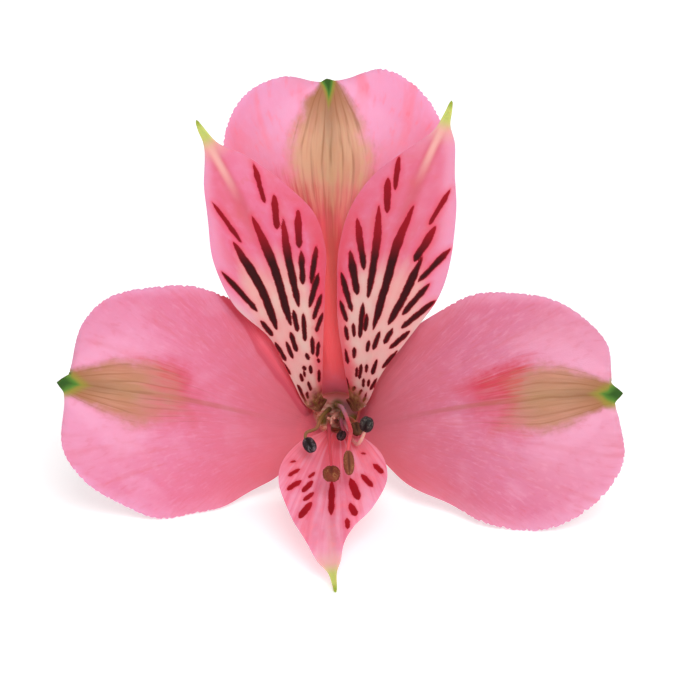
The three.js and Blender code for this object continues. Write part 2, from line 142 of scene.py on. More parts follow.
def in_world(places):
    """Places in the flower's own frame, in mm, as metres in the row's frame."""
    across, up, forward = np.moveaxis(np.asarray(places, float), -1, 0)
    turned = np.stack([
        across,
        up * math.sin(FACE_TILT) - forward * math.cos(FACE_TILT),
        up * math.cos(FACE_TILT) + forward * math.sin(FACE_TILT),
    ], axis=-1)
    return (turned + OVARY_TOP) / MM_PER_M


def ramp(value, start, end):
    """0 before start, 1 after end, and a smooth rise between them; start may be the higher one."""
    share = np.clip((np.asarray(value, float) - start) / (end - start), 0, 1)
    return share * share * (3 - 2 * share)


def rounded(distance, radius, least):
    """1 further than radius from an end, and less towards it as the side of a round end is."""
    return np.sqrt(np.clip(1 - (1 - np.clip(distance / radius, 0, 1)) ** 2, least, 1))


def unit(ways):
    """Directions of length 1."""
    return ways / np.linalg.norm(ways, axis=-1, keepdims=True)


def along_rail(stations, shares):
    """Places on the smooth curve through the stations, for shares from 0 at the first to 1 at the last."""
    stations = np.asarray(stations, float)
    last = len(stations) - 1
    known = np.vstack([2 * stations[0] - stations[1], stations, 2 * stations[-1] - stations[-2]])
    at = np.clip(np.asarray(shares, float), 0, 1) * last
    first = np.minimum(at.astype(int), last - 1)
    weight = (at - first)[:, None]
    before, start, end, after = (known[first + step] for step in range(4))

    def stretch(a, b):
        return np.sqrt(np.linalg.norm(b - a, axis=1))[:, None]

    gap0, gap1, gap2 = stretch(before, start), stretch(start, end), stretch(end, after)
    leave = gap1 * ((start - before) / gap0 - (end - before) / (gap0 + gap1) + (end - start) / gap1)
    arrive = gap1 * ((end - start) / gap1 - (after - start) / (gap1 + gap2) + (after - end) / gap2)
    return (start + leave * weight
            + (3 * (end - start) - 2 * leave - arrive) * weight ** 2
            + (2 * (start - end) + leave + arrive) * weight ** 3)


def way_length(places):
    """The running length of a way through places, from 0 at the first."""
    steps = np.linalg.norm(np.diff(places, axis=0), axis=1)
    return np.concatenate([[0], np.cumsum(steps)])


def even_shares(ribs, rows, fine_steps=1200):
    """Shares along a petal whose rows are evenly spaced on whichever rail runs furthest there."""
    fine = np.linspace(0, 1, fine_steps)
    rails = [along_rail(ribs[:, rail], fine) for rail in range(3)]
    steps = np.max([np.linalg.norm(np.diff(rail, axis=0), axis=1) for rail in rails], axis=0)
    run = np.concatenate([[0], np.cumsum(steps)])
    return np.interp(np.linspace(0, run[-1], rows), run, fine)


def notches(run, start, end, seed):
    """How far, in mm, a toothed margin is cut in at each place of its run, between two lengths."""
    wander = 0.6 * np.sin(run * 1.7 + seed) + 0.45 * np.sin(run * 4.1 + 2 * seed)
    tooth = 1 - np.abs(np.sin(math.pi * run / TOOTH_PITCH + wander)) ** TOOTH_SHARPNESS
    strength = 0.62 + 0.38 * np.sin(run * 2.9 + 3 * seed) * np.sin(run * 0.83 + seed)
    return TOOTH_DEPTH * tooth * strength * ramp(run, start, start + 4) * ramp(run, end, end - 3)


def sheet_faces(rows, columns):
    """The quads of a thin closed sheet: a front grid, a back grid and the rim between them."""
    front = np.arange(rows * columns).reshape(rows, columns)
    back = front + rows * columns

    def quads(*corners):
        return np.stack(corners, axis=-1).reshape(-1, 4)

    return np.concatenate([
        quads(front[:-1, :-1], front[1:, :-1], front[1:, 1:], front[:-1, 1:]),
        quads(back[:-1, :-1], back[:-1, 1:], back[1:, 1:], back[1:, :-1]),
        quads(front[:-1, 0], back[:-1, 0], back[1:, 0], front[1:, 0]),
        quads(front[:-1, -1], front[1:, -1], back[1:, -1], back[:-1, -1]),
        quads(front[0, :-1], front[0, 1:], back[0, 1:], back[0, :-1]),
        quads(front[-1, :-1], back[-1, :-1], back[-1, 1:], front[-1, 1:]),
    ]).tolist()


def put(name, data):
    """An object of the scene that holds that mesh, lamp or camera."""
    thing = bpy.data.objects.new(name, data)
    bpy.context.scene.collection.objects.link(thing)
    return thing


def make_piece(name, places, faces, finish, node, slot, **marks):
    """A piece of the bloom that stands for a CAD node, with named values on its vertices for its finish."""
    mesh = bpy.data.meshes.new(name)
    mesh.from_pydata(np.asarray(places).reshape(-1, 3).tolist(), [], faces)
    for mark, values in marks.items():
        values = np.asarray(values, np.float32).ravel()
        mesh.attributes.new(mark, "FLOAT", "POINT").data.foreach_set("value", values)
    mesh.shade_smooth()
    mesh.set_sharp_from_angle(angle=CREASE)
    mesh.materials.append(finish)
    piece = put(name, mesh)
    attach(piece, "root")
    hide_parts(node)


def beside_line(places, line):
    """How far each place of a grid lies from a line, and how far before the line's end its nearest point."""
    run = way_length(line)
    gaps = np.stack([np.linalg.norm(row[:, None] - line[None], axis=-1) for row in places])
    return gaps.min(axis=-1), run[-1] - run[gaps.argmin(axis=-1)]


def make_petal(name, node, slot, ribs, grid, finish, seed, wave=0.15, teeth=0, folded=0, more_marks=None):
    """A petal: its surface through the ribs, waved, with a front and a back skin. Its sides run from -1 at
    the right edge to 1 at the left one. Teeth start at that share of its margin; folded is 1 or 0."""
    rows, columns = grid
    ribs = np.array(ribs, float)
    shares = even_shares(ribs, rows)
    middle, left, right = (along_rail(ribs[:, rail], shares) for rail in range(3))
    along = np.repeat(way_length(middle)[:, None], columns, axis=1)
    to_end = along[-1] - along
    half = np.repeat(np.linalg.norm(left - right, axis=1)[:, None] / 2, columns, axis=1)

    sides = np.repeat(np.linspace(-1, 1, columns)[None, :], rows, axis=0)
    if teeth:
        for edge, sign in ((left, 1), (right, -1)):
            run = way_length(edge)
            cut = notches(run, teeth * run[-1], run[-1] - TEETH_BEFORE_TIP, seed + sign)
            sides = sides - sign * cut[:, None] / np.maximum(half, 1) * ramp(sign * sides, TOOTH_STRIP, 1)
    sides = sides * rounded(to_end, OUTLINE_ROUNDING, 0.02)
    off = sides[..., None]
    surface = (middle[:, None] * (1 - off ** 2) + left[:, None] * (off ** 2 + off) / 2
               + right[:, None] * (off ** 2 - off) / 2)
    across = np.zeros((rows, columns))
    across[:, 1:] = np.cumsum(np.linalg.norm(np.diff(surface, axis=1), axis=-1), axis=1)
    across -= across[:, [columns // 2]]
    margin = half * (1 - np.abs(sides))

    free = ramp(along, 9, 18) * ramp(to_end, 0, 5)
    fan = across / FAN_WIDTH * (FAN_REACH / (along + FAN_START)) ** FAN_SPREAD
    channel = -MIDRIB_DEPTH * np.exp(-(across / MIDRIB_SPREAD) ** 2) * ramp(along, 5, 12)
    pleats = PLEAT_HEIGHT * np.sin(fan * PLEAT_RATE + seed) * (1 - sides ** 4)
    sway = SWAY_HEIGHT * np.sin(along * 0.31 + 1.4 * across / 9 + seed) * np.cos(across * 0.23 + 2 * seed)
    flutter = wave * np.abs(sides) ** 5 * np.sin(along * 0.62 + 2.5 * np.sign(sides) + seed)
    fold_reach = np.minimum((FOLD_END - along) * FOLD_NARROWING, along * FOLD_WIDENING)
    fold_reach = np.minimum(FOLD_WIDTH, fold_reach)
    # the folded strip of the right margin: raised, and coloured in the finish with painted shade and painted
    # light
    fold = folded * np.clip((fold_reach - margin) / FOLD_EDGE, 0, 1) * ramp(-across, 0.2, 0.8)
    relief = channel + (pleats + sway + flutter) * free + FOLD_HEIGHT * ramp(fold, 0, 0.8)

    rim = np.abs(sides) ** 4
    thick = PETAL_THICKNESS + (PETAL_EDGE - PETAL_THICKNESS) * rim
    thick = thick + (TIP_THICKNESS - thick) * ramp(to_end, TIP_START, TIP_FULL) * (1 - 0.5 * rim)
    closing = rounded(to_end, TIP_ROUNDING, 0.01)
    keel = KEEL_HEIGHT * np.exp(-(across / KEEL_SPREAD) ** 2) * ramp(along, 3, 12) * closing
    thick = thick * closing
    out = unit(np.cross(np.gradient(surface, axis=0), np.gradient(surface, axis=1)))
    both = np.stack([surface + out * (relief + thick / 2)[..., None],
                     surface + out * (relief - thick / 2 - keel)[..., None]])
    both[..., 2] -= CLAW_SINK * ramp(along, CLAW_SUNK, 0)

    from_tip = np.linalg.norm(surface - surface[-1, columns // 2], axis=-1)
    mark_line = along_rail(ribs[:, 0], np.linspace(MARK_LINE_START, 1, MARK_LINE_STEPS))
    beside, below = beside_line(surface, mark_line)
    marks = {"along": along, "fan": fan, "across": across, "from_tip": from_tip, "margin": margin,
             "beside": beside * np.sign(across), "below": below, "fold": fold}
    marks = {mark: np.stack([values, values]) for mark, values in marks.items()}
    marks["back"] = np.stack([np.zeros_like(sides), np.clip(np.minimum(margin, to_end) / BACK_RIM, 0, 1)])
    if more_marks:
        marks |= more_marks(both)
    places = in_world(both)
    places[..., 2] = np.maximum(places[..., 2], PETAL_CLEARANCE)
    make_piece(name, places, sheet_faces(rows, columns), finish, node, slot, **marks)


def tint(code):
    """A screen colour such as f08cae as the linear colour that a shader takes."""
    parts = [int(code[i:i + 2], 16) / 255 for i in (0, 2, 4)]
    linear = [part / 12.92 if part <= 0.04045 else ((part + 0.055) / 1.055) ** 2.4 for part in parts]
    return (*linear, 1)


def lay(tree, kind, wires=None, give=0, **settings):
    """Lays a node with its settings made and its inputs wired or set, where a code is a colour, and gives
    the figure that it puts out."""
    made = tree.nodes.new(kind)
    for setting, value in settings.items():
        setattr(made, setting, value)
    for socket, source in (wires or {}).items():
        if isinstance(source, Figure):
            tree.links.new(source.socket, made.inputs[socket])
        else:
            made.inputs[socket].default_value = tint(source) if isinstance(source, str) else source
    return Figure(made.outputs[give]) if made.outputs else None


class Figure:
    """A value or colour that changes over a surface; reckoning with figures lays the nodes that do it."""

    def __init__(self, socket):
        self.socket = socket
        self.tree = socket.id_data

    def reckon(self, operation, other=0.0):
        return lay(self.tree, "ShaderNodeMath", {0: self, 1: other}, operation=operation)

    __add__ = partialmethod(reckon, "ADD")
    __sub__ = partialmethod(reckon, "SUBTRACT")
    __mul__ = partialmethod(reckon, "MULTIPLY")
    __truediv__ = partialmethod(reckon, "DIVIDE")
    __pow__ = partialmethod(reckon, "POWER")
    __abs__ = partialmethod(reckon, "ABSOLUTE")

    def __rsub__(self, other):
        return self * -1.0 + other

    def rise(self, start, end):
        """A mask that goes smoothly from 0 where this value is start to 1 where it is end."""
        wires = {"Value": self, "From Min": start, "From Max": end}
        return lay(self.tree, "ShaderNodeMapRange", wires, interpolation_type="SMOOTHSTEP")


def over(mask, below, above):
    """One colour laid over another where the mask says so."""
    return lay(mask.tree, "ShaderNodeMix", {0: mask, 6: below, 7: above}, give=2, data_type="RGBA")


def coats(colour, *layers):
    """A colour with others laid over it one by one, each where its mask says so."""
    for mask, above in layers:
        colour = over(mask, colour, above)
    return colour


def marks_of(tree, *names):
    """Named values of the mesh."""
    return [lay(tree, "ShaderNodeAttribute", give="Fac", attribute_name=name) for name in names]


def grain(x, y, z=0.0, detail=2.0):
    """Even noise from 0 to 1 over two values, finer where they change faster; z picks the pattern."""
    place = lay(x.tree, "ShaderNodeCombineXYZ", {0: x, 1: y, 2: z})
    wires = {"Vector": place, "Scale": 1.0, "Detail": detail, "Roughness": 0.55}
    return lay(x.tree, "ShaderNodeTexNoise", wires)


def label_of(name):
    """The label that a node group's socket has for a name: From Tip for from_tip."""
    return name.replace("_", " ").title()


def new_group(name, values, colours, results):
    """An empty node group with named sockets; returns its tree, and its inputs as figures by name."""
    tree = bpy.data.node_groups.new(name, "ShaderNodeTree")
    kinds = {**dict.fromkeys(values, "Float"), **dict.fromkeys(colours, "Color")}
    for given, kind in kinds.items():
        tree.interface.new_socket(name=label_of(given), in_out="INPUT", socket_type=f"NodeSocket{kind}")
    for result in results:
        kind = "Color" if result == "color" else "Float"
        tree.interface.new_socket(name=label_of(result), in_out="OUTPUT", socket_type=f"NodeSocket{kind}")
    inputs = tree.nodes.new("NodeGroupInput").outputs
    return tree, SimpleNamespace(**{given: Figure(inputs[label_of(given)]) for given in kinds})


def put_out(tree, **results):
    """The end of a node group."""
    lay(tree, "NodeGroupOutput", {label_of(name): value for name, value in results.items()})


def group_in(tree, group, marks, **values):
    """A shared node group in a material: it reads those named values of the mesh, and its other inputs are
    given here. Gives all that it puts out."""
    values |= dict(zip(marks, marks_of(tree, *marks)))
    wires = {label_of(name): value for name, value in values.items()}
    placed = lay(tree, "ShaderNodeGroup", wires, node_tree=group)
    return [Figure(socket) for socket in placed.socket.node.outputs]


def bare_material(name):
    """A material with an empty shader tree."""
    material = bpy.data.materials.new(name)
    material.use_nodes = True
    material.node_tree.nodes.clear()
    return material, material.node_tree


def surface_of(tree, colour, roughness, **sockets):
    """The end of a material; the other sockets of its shader are given by name."""
    wires = {label.replace("_", " "): value for label, value in sockets.items()}
    shader = lay(tree, "ShaderNodeBsdfPrincipled", {"Base Color": colour, "Roughness": roughness, **wires})
    lay(tree, "ShaderNodeOutputMaterial", {"Surface": shader})


def soft_surface(tree, colour, height, relief, rough_from, rough_ends, **sockets):
    """The end of a material with a relief of a strength and a depth in m, and a changing roughness."""
    bump = lay(tree, "ShaderNodeBump", {"Height": height, "Strength": relief[0], "Distance": relief[1]})
    wires = {"Value": rough_from, "To Min": rough_ends[0], "To Max": rough_ends[1]}
    surface_of(tree, colour, lay(tree, "ShaderNodeMapRange", wires), Normal=bump, **sockets)


# Petal tissue, shared by all petals: veins that fan out from the claw, short flecks along them, soft
# mottling, a paler far end and margin, a paler back, and a fine relief. Towards the throat the colour turns
# redder and darker, partly the tissue's own colour and partly painted shade. Near the throat it reaches
# further out along the margins as painted shade, where the neighbouring petals overlap them.
TISSUE_MARKS = ("along", "across", "fan", "margin", "from_tip", "back")
petal_tissue, given = new_group(
    "petal_tissue",
    values=(*TISSUE_MARKS, "edge_width", "far_reach", "throat_reach", "throat_full", "vein_count", "variant"),
    colours=("body", "edge", "throat", "behind"),
    results=("color", "streaks", "mottle", "patches", "height"),
)
along, across, margin, variant = given.along, given.across, given.margin, given.variant
fan_place = given.fan * given.vein_count
streaks = grain(fan_place, along * 0.07, variant)
flecks = grain(fan_place * 2.6, along * 0.55, variant + 7.0)
mottle = grain(across * 0.8, along * 0.6, variant + 3.0, detail=4.0)
patches = grain(across * 0.17, along * 0.14, variant + 13.0)
cells = grain(across * 7.0, along * 4.5, 11.0, detail=1.0)
far_end = (given.from_tip + (patches - 0.5) * 16.0).rise(given.far_reach, 4.0) * 0.8
near_rim = (margin + mottle * 2.0).rise(given.edge_width, 0.8) * 0.8
# painted shade: the throat's redder, darker colour, partly the tissue's own, runs further out along the
# margins near the throat
throat_and_shade_place = along - margin.rise(6.0, 1.0) * 3.5 + (streaks - 0.5) * 9.0
tissue = coats(
    given.body,
    (far_end.reckon("MAXIMUM", near_rim), given.edge),
    (patches.rise(0.5, 0.7) * 0.45, given.edge),
    (patches.rise(0.5, 0.3) * 0.2, given.throat),
    (mottle.rise(0.52, 0.7) * 0.2, given.edge),
    (streaks.rise(0.5, 0.72) * 0.32, given.throat),
    (flecks.rise(0.52, 0.72) * 0.32, given.edge),
    (flecks.rise(0.46, 0.28) * 0.27, given.throat),
    # the redder, darker throat end: partly the tissue's own colour, partly painted shade
    (throat_and_shade_place.rise(given.throat_reach, given.throat_full), given.throat),
    (given.back * 0.6, given.behind),
)
put_out(petal_tissue, color=tissue, streaks=streaks, mottle=mottle, patches=patches,
        height=streaks * 0.6 + (flecks * 0.5 + cells * 0.25))

PETAL_RELIEF = (0.6, 0.00014)   # strength, and depth in m
PETAL_ROUGHNESS = (0.5, 0.7)


def petal_satin(tree, colour, height, mottle):
    """The end of a petal's material: soft satin, with light that passes through thin tissue."""
    soft_surface(tree, colour, height, PETAL_RELIEF, mottle, PETAL_ROUGHNESS, Specular_IOR_Level=0.14,
                 Subsurface_Weight=0.6, Subsurface_Scale=0.0012, Subsurface_Radius=(1.0, 0.4, 0.45))


OUTER_BEHIND = "eab3bf"
HALO_PINK = "ecb4d0"
FLUSH_RED = "c83a50"
MARK_STRIPE = "c49474"
MARK_HEART = "a88e50"
MARK_SPINE = "8e6840"
MARK_TIP = "9a6c30"
MARK_VEIN = "8a5a34"
TIP_OLIVE = "96923a"
TIP_GREEN = "5c8a34"
TIP_DARK = "365c20"
# painted light: a pale peach at the claw's foot that lifts the shade of its crease with the ovary
CLAW_FOOT_PAINTED_LIGHT = "ffa898"
# painted shade: a deeper red band along the folded margin; painted light: a brighter red at its edge, where
# the inner petal shades it
FOLD_PAINTED_SHADE = "c44f62"
FOLD_PAINTED_LIGHT = "f87486"
MARK_SWELL = 14.0          # mm before the tip, where the mark is widest
MARK_SPARE = 0.3           # mm that its half width keeps everywhere
USUAL_OUTER_MARKINGS = {"mark_blunt": 0.9, "tip_slope": 1.45, "midrib": "b8685a", "midrib_half": 0.5}

# The outer petals' markings, shared by all three: the leaf-shaped olive mark with its veins, the rosy
# flush where it ends, the green tip, the ruddy claw with a pale foot of painted light, and the folded
# margin. The folded margin is coloured with a deeper red band of painted shade and a brighter red of
# painted light where the inner petal shades it. Widths and lengths are in mm; the flush is stronger on
# the side with flush_side's sign.
OUTER_MARKS = ("beside", "below", "along", "fold")
outer_markings, given = new_group(
    "outer_markings",
    values=(*OUTER_MARKS, "mottle", "patches", "variant", "mark_half", "mark_end", "mark_blunt", "tip_slope",
            "flush", "flush_side", "midrib_half"),
    colours=("tissue", "olive", "midrib", "claw"),
    results=("color",),
)
beside, below, along, mark_end = given.beside, given.below, given.along, given.mark_end
mottle, patches = given.mottle, given.patches
aside = abs(beside)

# The mark's half width swells from the tip and tapers again; place runs from -1 to 1 across it.
short = (1.0 - below / MARK_SWELL).reckon("MAXIMUM", 0.0).reckon("MINIMUM", 1.0)
taper = 1.0 - below.rise(10.0, 26.0) * 0.5
place = beside / ((1.0 - short * short) ** given.mark_blunt * taper * given.mark_half + MARK_SPARE)
bends = grain(place * 2.0, below * 0.07, given.variant + 21.0)
lines = grain(place * 9.0, below * 0.12, given.variant + 25.0)
out = abs(place) + ((patches - 0.5) * 0.4 + (mottle - 0.5) * 0.5)
reach = below + ((lines - 0.5) * 7.0 + (patches - 0.5) * 10.0)
off_vein = abs((place * 4.2 + bends * 1.4).reckon("FRACT") - 0.5)
veins = off_vein.rise(0.2, 0.0) * lines.rise(0.34, 0.6)

halo = out.rise(0.9, 1.25) * out.rise(2.2, 1.5) * reach.rise(mark_end + 2.0, mark_end - 5.0)
at_end = reach.rise(mark_end + 9.5, mark_end + 2.0) * reach.rise(mark_end - 5.0, mark_end + 1.0)
flush_at = place.rise(given.flush_side * -1.0, given.flush_side) * 0.8 + 0.55
flushed = out.rise(1.6, 0.75) * at_end * flush_at * (lines.rise(0.3, 0.7) * 0.6 + 0.5)
on_midrib = aside.rise(given.midrib_half, 0.1) * along.rise(48.0, 30.0) * along.rise(14.0, 30.0)
in_mark = out.rise(1.2, 0.62) * reach.rise(mark_end + 5.5, mark_end - 5.5)
mark_tissue = coats(
    given.olive,
    (lines.rise(0.4, 0.66) * 0.7, MARK_STRIPE),
    (abs(place).rise(0.7, 0.1) * 0.35, MARK_HEART),
    (aside.rise(1.3, 0.2) * below.rise(12.0, 4.0) * 0.6, MARK_SPINE),
    (below.rise(9.0, 2.0), MARK_TIP),
)
tip = below + aside * given.tip_slope
put_out(outer_markings, color=coats(
    given.tissue,
    (halo * 0.25, HALO_PINK),
    ((flushed * given.flush).reckon("MINIMUM", 0.9), FLUSH_RED),
    (on_midrib * 0.55, given.midrib),
    (in_mark * 0.88, mark_tissue),
    (veins * (out.rise(1.1, 0.75) * below.rise(27.0, 9.0)) * 0.5, MARK_VEIN),
    (tip.rise(5.6, 3.4) * 0.85, TIP_OLIVE),
    (tip.rise(3.8, 2.6), over(tip.rise(3.2, 1.4), TIP_GREEN, TIP_DARK)),
    ((along + (mottle - 0.5) * 5.0).rise(13.0, 6.0) * 0.85, given.claw),
    # painted light at the claw's foot, against the shade of its crease with the ovary
    (along.rise(3.0, 0.6), CLAW_FOOT_PAINTED_LIGHT),
    # painted shade along the folded margin, and painted light at its edge beside the inner petal
    (given.fold.rise(0.0, 0.16) * 0.85, over(given.fold.rise(0.2, 1.0), FOLD_PAINTED_SHADE, FOLD_PAINTED_LIGHT)),
))


def outer_finish(name, body, edge, throat, throat_reach, variant, throat_full=7.0, **markings):
    """An outer petal's finish: pink tissue with the outer markings, whose values are given by name."""
    material, tree = bare_material(name)
    tissue, _, mottle, patches, height = group_in(
        tree, petal_tissue, TISSUE_MARKS, body=body, edge=edge, throat=throat, behind=OUTER_BEHIND,
        edge_width=4.0, far_reach=26.0, throat_reach=throat_reach, throat_full=throat_full, vein_count=48.0,
        variant=variant)
    marked, = group_in(
        tree, outer_markings, OUTER_MARKS, tissue=tissue, mottle=mottle, patches=patches, variant=variant,
        **{**USUAL_OUTER_MARKINGS, **markings})
    petal_satin(tree, marked, height, mottle)
    return material


make_petal("petal_outer_top", "outer_tepal_top", "outer_tepal", OUTER_TOP_RIBS, OUTER_GRID,
           outer_finish("outer_top_tissue", body="de88a8", edge="e8a4c6", throat="f8686e", throat_reach=47.0,
                        throat_full=28.0, olive="ceaa84", mark_half=6.2, mark_end=17.5, mark_blunt=0.86,
                        tip_slope=3.4, flush=0.8, flush_side=1.0, midrib="b06048", midrib_half=1.4,
                        claw="f07890", variant=0.0),
           seed=0.6, wave=0.22, teeth=0.55)
make_petal("petal_outer_left", "outer_tepal_left", "outer_tepal", OUTER_LEFT_RIBS, OUTER_GRID,
           outer_finish("outer_left_tissue", body="d47898", edge="e09dbc", throat="ce6a78", throat_reach=37.0,
                        olive="b4805c", mark_half=4.6, mark_end=15.0, flush=0.62, flush_side=-1.0,
                        claw="f06c80", variant=40.0),
           seed=2.1, wave=0.2, teeth=0.4, folded=1)
make_petal("petal_outer_right", "outer_tepal_right", "outer_tepal", OUTER_RIGHT_RIBS, OUTER_GRID,
           outer_finish("outer_right_tissue", body="ca7694", edge="dea0ba", throat="c86a76",
                        throat_reach=34.0, olive="b08464", mark_half=4.7, mark_end=15.6, flush=0.9,
                        flush_side=1.0, claw="d8647a", variant=80.0),
           seed=4.4, wave=0.25, teeth=0.4)

# ---- the inner tepals ----
# The three narrow inner petals, of the same tissue, grown on the ovary between the outer ones. Rows of
# dark dashes lead to the throat. The upper two are pale between their dashes and end in long yellow-green
# tips; the lower one is pink with red dashes.
INNER_LEFT_RIBS = [
    [[-2, 1.15, 0.3], [-2.4, 0.25, 0.3], [-1.4, 2, 0.3]],
    [[-2.7, 1.6, 5.5], [-3.3, 0.5, 5.7], [-2, 2.5, 5.7]],
    [[-3.5, 2.8, 10], [-4.7, 1.7, 10.4], [-2.1, 3.8, 10.2]],
    [[-4.4, 6.2, 14], [-6.6, 5.6, 14], [-2, 7, 14]],
    [[-5.9, 11.2, 17], [-9.4, 10.8, 17], [-1.8, 12, 16.8]],
    [[-7.9, 17.2, 19.6], [-14.6, 15.9, 19.4], [-1.6, 18, 19]],
    [[-10, 22.8, 21.6], [-17.2, 21.4, 21], [-1.5, 23.4, 20.8]],
    [[-12.4, 28, 23.4], [-18, 27, 22.8], [-3, 28.3, 22.6]],
    [[-14.6, 32.4, 25], [-18.4, 31.8, 24.4], [-7, 32.4, 24.4]],
    [[-16.6, 36, 26.4], [-18.2, 35.4, 26], [-12, 36, 26]],
    [[-17.8, 38.4, 27.6], [-18.5, 38.1, 27.4], [-16.6, 38.2, 27.4]],
    [[-18.7, 39.8, 28.1], [-19.1, 39.6, 28], [-18.2, 39.9, 28]],
    [[-19.4, 41.2, 28.4], [-19.6, 41.1, 28.4], [-19.2, 41.2, 28.4]],
]

INNER_RIGHT_RIBS = [
    [[2, 1.15, 0.3], [1.4, 2, 0.3], [2.4, 0.25, 0.3]],
    [[2.7, 1.6, 5.5], [1.9, 2.5, 5.7], [3.3, 0.5, 5.7]],
    [[3.4, 2.9, 10], [1.7, 3.9, 10.2], [4.5, 1.8, 10.4]],
    [[4.1, 6.4, 14], [1.1, 7.2, 14], [6.5, 5.9, 14]],
    [[5, 11.5, 17], [0.4, 12.2, 16.8], [10.2, 10.9, 16.8]],
    [[6.3, 17.2, 19.6], [0.1, 18, 19], [14.3, 16.3, 19]],
    [[7.8, 22.8, 21.6], [0.4, 23.4, 20.8], [16.2, 22.2, 20.6]],
    [[9.8, 28.4, 23.4], [1.9, 28.9, 22.6], [16.8, 28.4, 22.2]],
    [[11.9, 33.6, 25.2], [5.2, 33.7, 24.4], [16.8, 33.6, 23.8]],
    [[13.7, 37.8, 26.6], [9.4, 36.9, 26], [16.5, 38, 25.6]],
    [[14.9, 40.4, 27.6], [13.6, 39.8, 27.4], [15.9, 40.5, 27.2]],
    [[15.6, 42.1, 28.1], [15, 42, 28], [16.1, 42.1, 28]],
    [[16.1, 43.9, 28.4], [15.9, 43.9, 28.4], [16.3, 43.9, 28.4]],
]

INNER_LOWER_RIBS = [
    [[0, -2.3, 0.3], [1, -2.1, 0.3], [-1, -2.1, 0.3]],
    [[0, -2.6, 6], [1.4, -2.2, 6.2], [-1.4, -2.2, 6.2]],
    [[0, -2.9, 12], [1.7, -2.4, 12.6], [-1.8, -2.4, 12.6]],
    [[0, -4, 18], [4.2, -3.4, 18.4], [-4.6, -3.6, 18.4]],
    [[-0.2, -6.2, 23], [6.7, -6, 23.4], [-7.4, -6.2, 23.4]],
    [[-0.4, -9, 27], [7.1, -9, 27.2], [-8, -9.2, 27.2]],
    [[-0.6, -12, 30.4], [5.2, -12.4, 30.4], [-6.8, -12.4, 30.4]],
    [[-0.7, -14.8, 33.4], [2.6, -14.9, 33.2], [-5.5, -15, 33.2]],
    [[-0.6, -17.4, 36.2], [1.2, -17.2, 36], [-3.9, -17.4, 36]],
    [[-0.5, -19.7, 38.4], [0.7, -19.4, 38.2], [-2.5, -19.6, 38.2]],
    [[-0.4, -21.1, 39.6], [0.2, -21.1, 39.5], [-1.1, -21, 39.5]],
    [[0, -23.6, 41], [0.2, -23.6, 41], [-0.2, -23.6, 41]],
]

INNER_GRID = (250, 88)     # rows along the petal, and places across it

# The dashes are drawn on the bloom as seen face on, from this eye. The drawing is 700 units wide and
# high, with x to the right and y down, and a dash is its width and then the points of its middle line.
EYE = np.array([1.96, 9.24, 569.0])    # mm, in the flower's own frame
LENS = 200                             # mm, on a sensor 36 mm wide
SENSOR = 36
DRAWING_SIZE = 700

LEFT_DASHES = [
    (5, (253, 162), (265, 203)), (4, (212, 202), (242, 243)), (7, (274, 193), (277, 230)),
    (8, (283, 217), (287, 250), (299, 308)), (7, (298, 210), (299, 248)),
    (9, (252, 216), (273, 265), (291, 326)), (9, (233, 242), (262, 290), (277, 330)),
    (6, (221, 271), (258, 312)), (6, (301, 250), (303, 285)), (6, (317, 244), (311, 284)),
    (6, (319, 272), (309, 308)), (5, (322, 293), (313, 320)), (4, (323, 312), (316, 332)),
    (5, (260, 320), (273, 336)), (5, (275, 342), (286, 361)), (3, (283, 362), (291, 375)),
    (4, (286, 341), (293, 359)), (5, (290, 331), (297, 352)), (5, (293, 309), (298, 332)),
    (5, (303, 312), (305, 341)), (4, (312, 335), (313, 355)), (3.5, (319, 341), (317, 357)),
    (4, (306, 353), (309, 360)), (3, (318, 358), (319, 363)), (4, (303, 366), (306, 370)),
    (3.5, (310, 365), (311, 374)), (3, (300, 373), (303, 382)), (3, (319, 369), (319, 383)),
    (3, (308, 381), (311, 391)), (3, (297, 384), (303, 396)), (3, (307, 391), (308, 399)),
    (2, (304, 371), (305, 377)), (2.4, (301, 392), (307, 404)), (2.6, (314, 400), (316, 406)),
]
RIGHT_DASHES = [
    (5, (399, 157), (395, 190)), (7, (388, 177), (387, 213)),
    (8, (379, 204), (377, 240), (368, 298)), (5, (451, 188), (429, 225)),
    (8, (436, 226), (414, 262)), (9, (414, 205), (397, 245), (386, 285), (373, 330)),
    (8, (423, 255), (402, 300), (388, 325)), (7, (357, 217), (364, 270)),
    (8, (350, 250), (357, 295)), (6, (341, 272), (352, 312)), (5, (340, 300), (347, 322)),
    (6, (451, 248), (418, 282)), (6, (430, 283), (402, 315)), (6, (436, 300), (401, 328)),
    (5, (410, 331), (389, 349)), (4, (398, 350), (382, 368)), (4, (384, 376), (374, 390)),
    (3, (377, 378), (370, 390)), (5, (363, 302), (360, 338)), (5, (367, 313), (365, 332)),
    (5, (380, 331), (373, 350)), (5, (393, 328), (384, 344)), (4, (353, 322), (354, 337)),
    (4, (345, 325), (348, 341)), (4, (354, 347), (354, 359)), (4, (345, 348), (348, 364)),
    (4, (369, 340), (367, 352)), (4, (377, 359), (372, 375)), (3, (367, 364), (366, 373)),
    (3, (357, 367), (356, 377)), (3.2, (361.5, 364), (359.5, 379)), (3, (364, 378), (363, 387)),
    (3, (369, 379), (368, 387)), (3, (346, 377), (349, 391)), (2.6, (355, 386), (353, 391)),
    (2.4, (362, 389), (359, 395)), (2.2, (367, 392), (363, 402)),
]
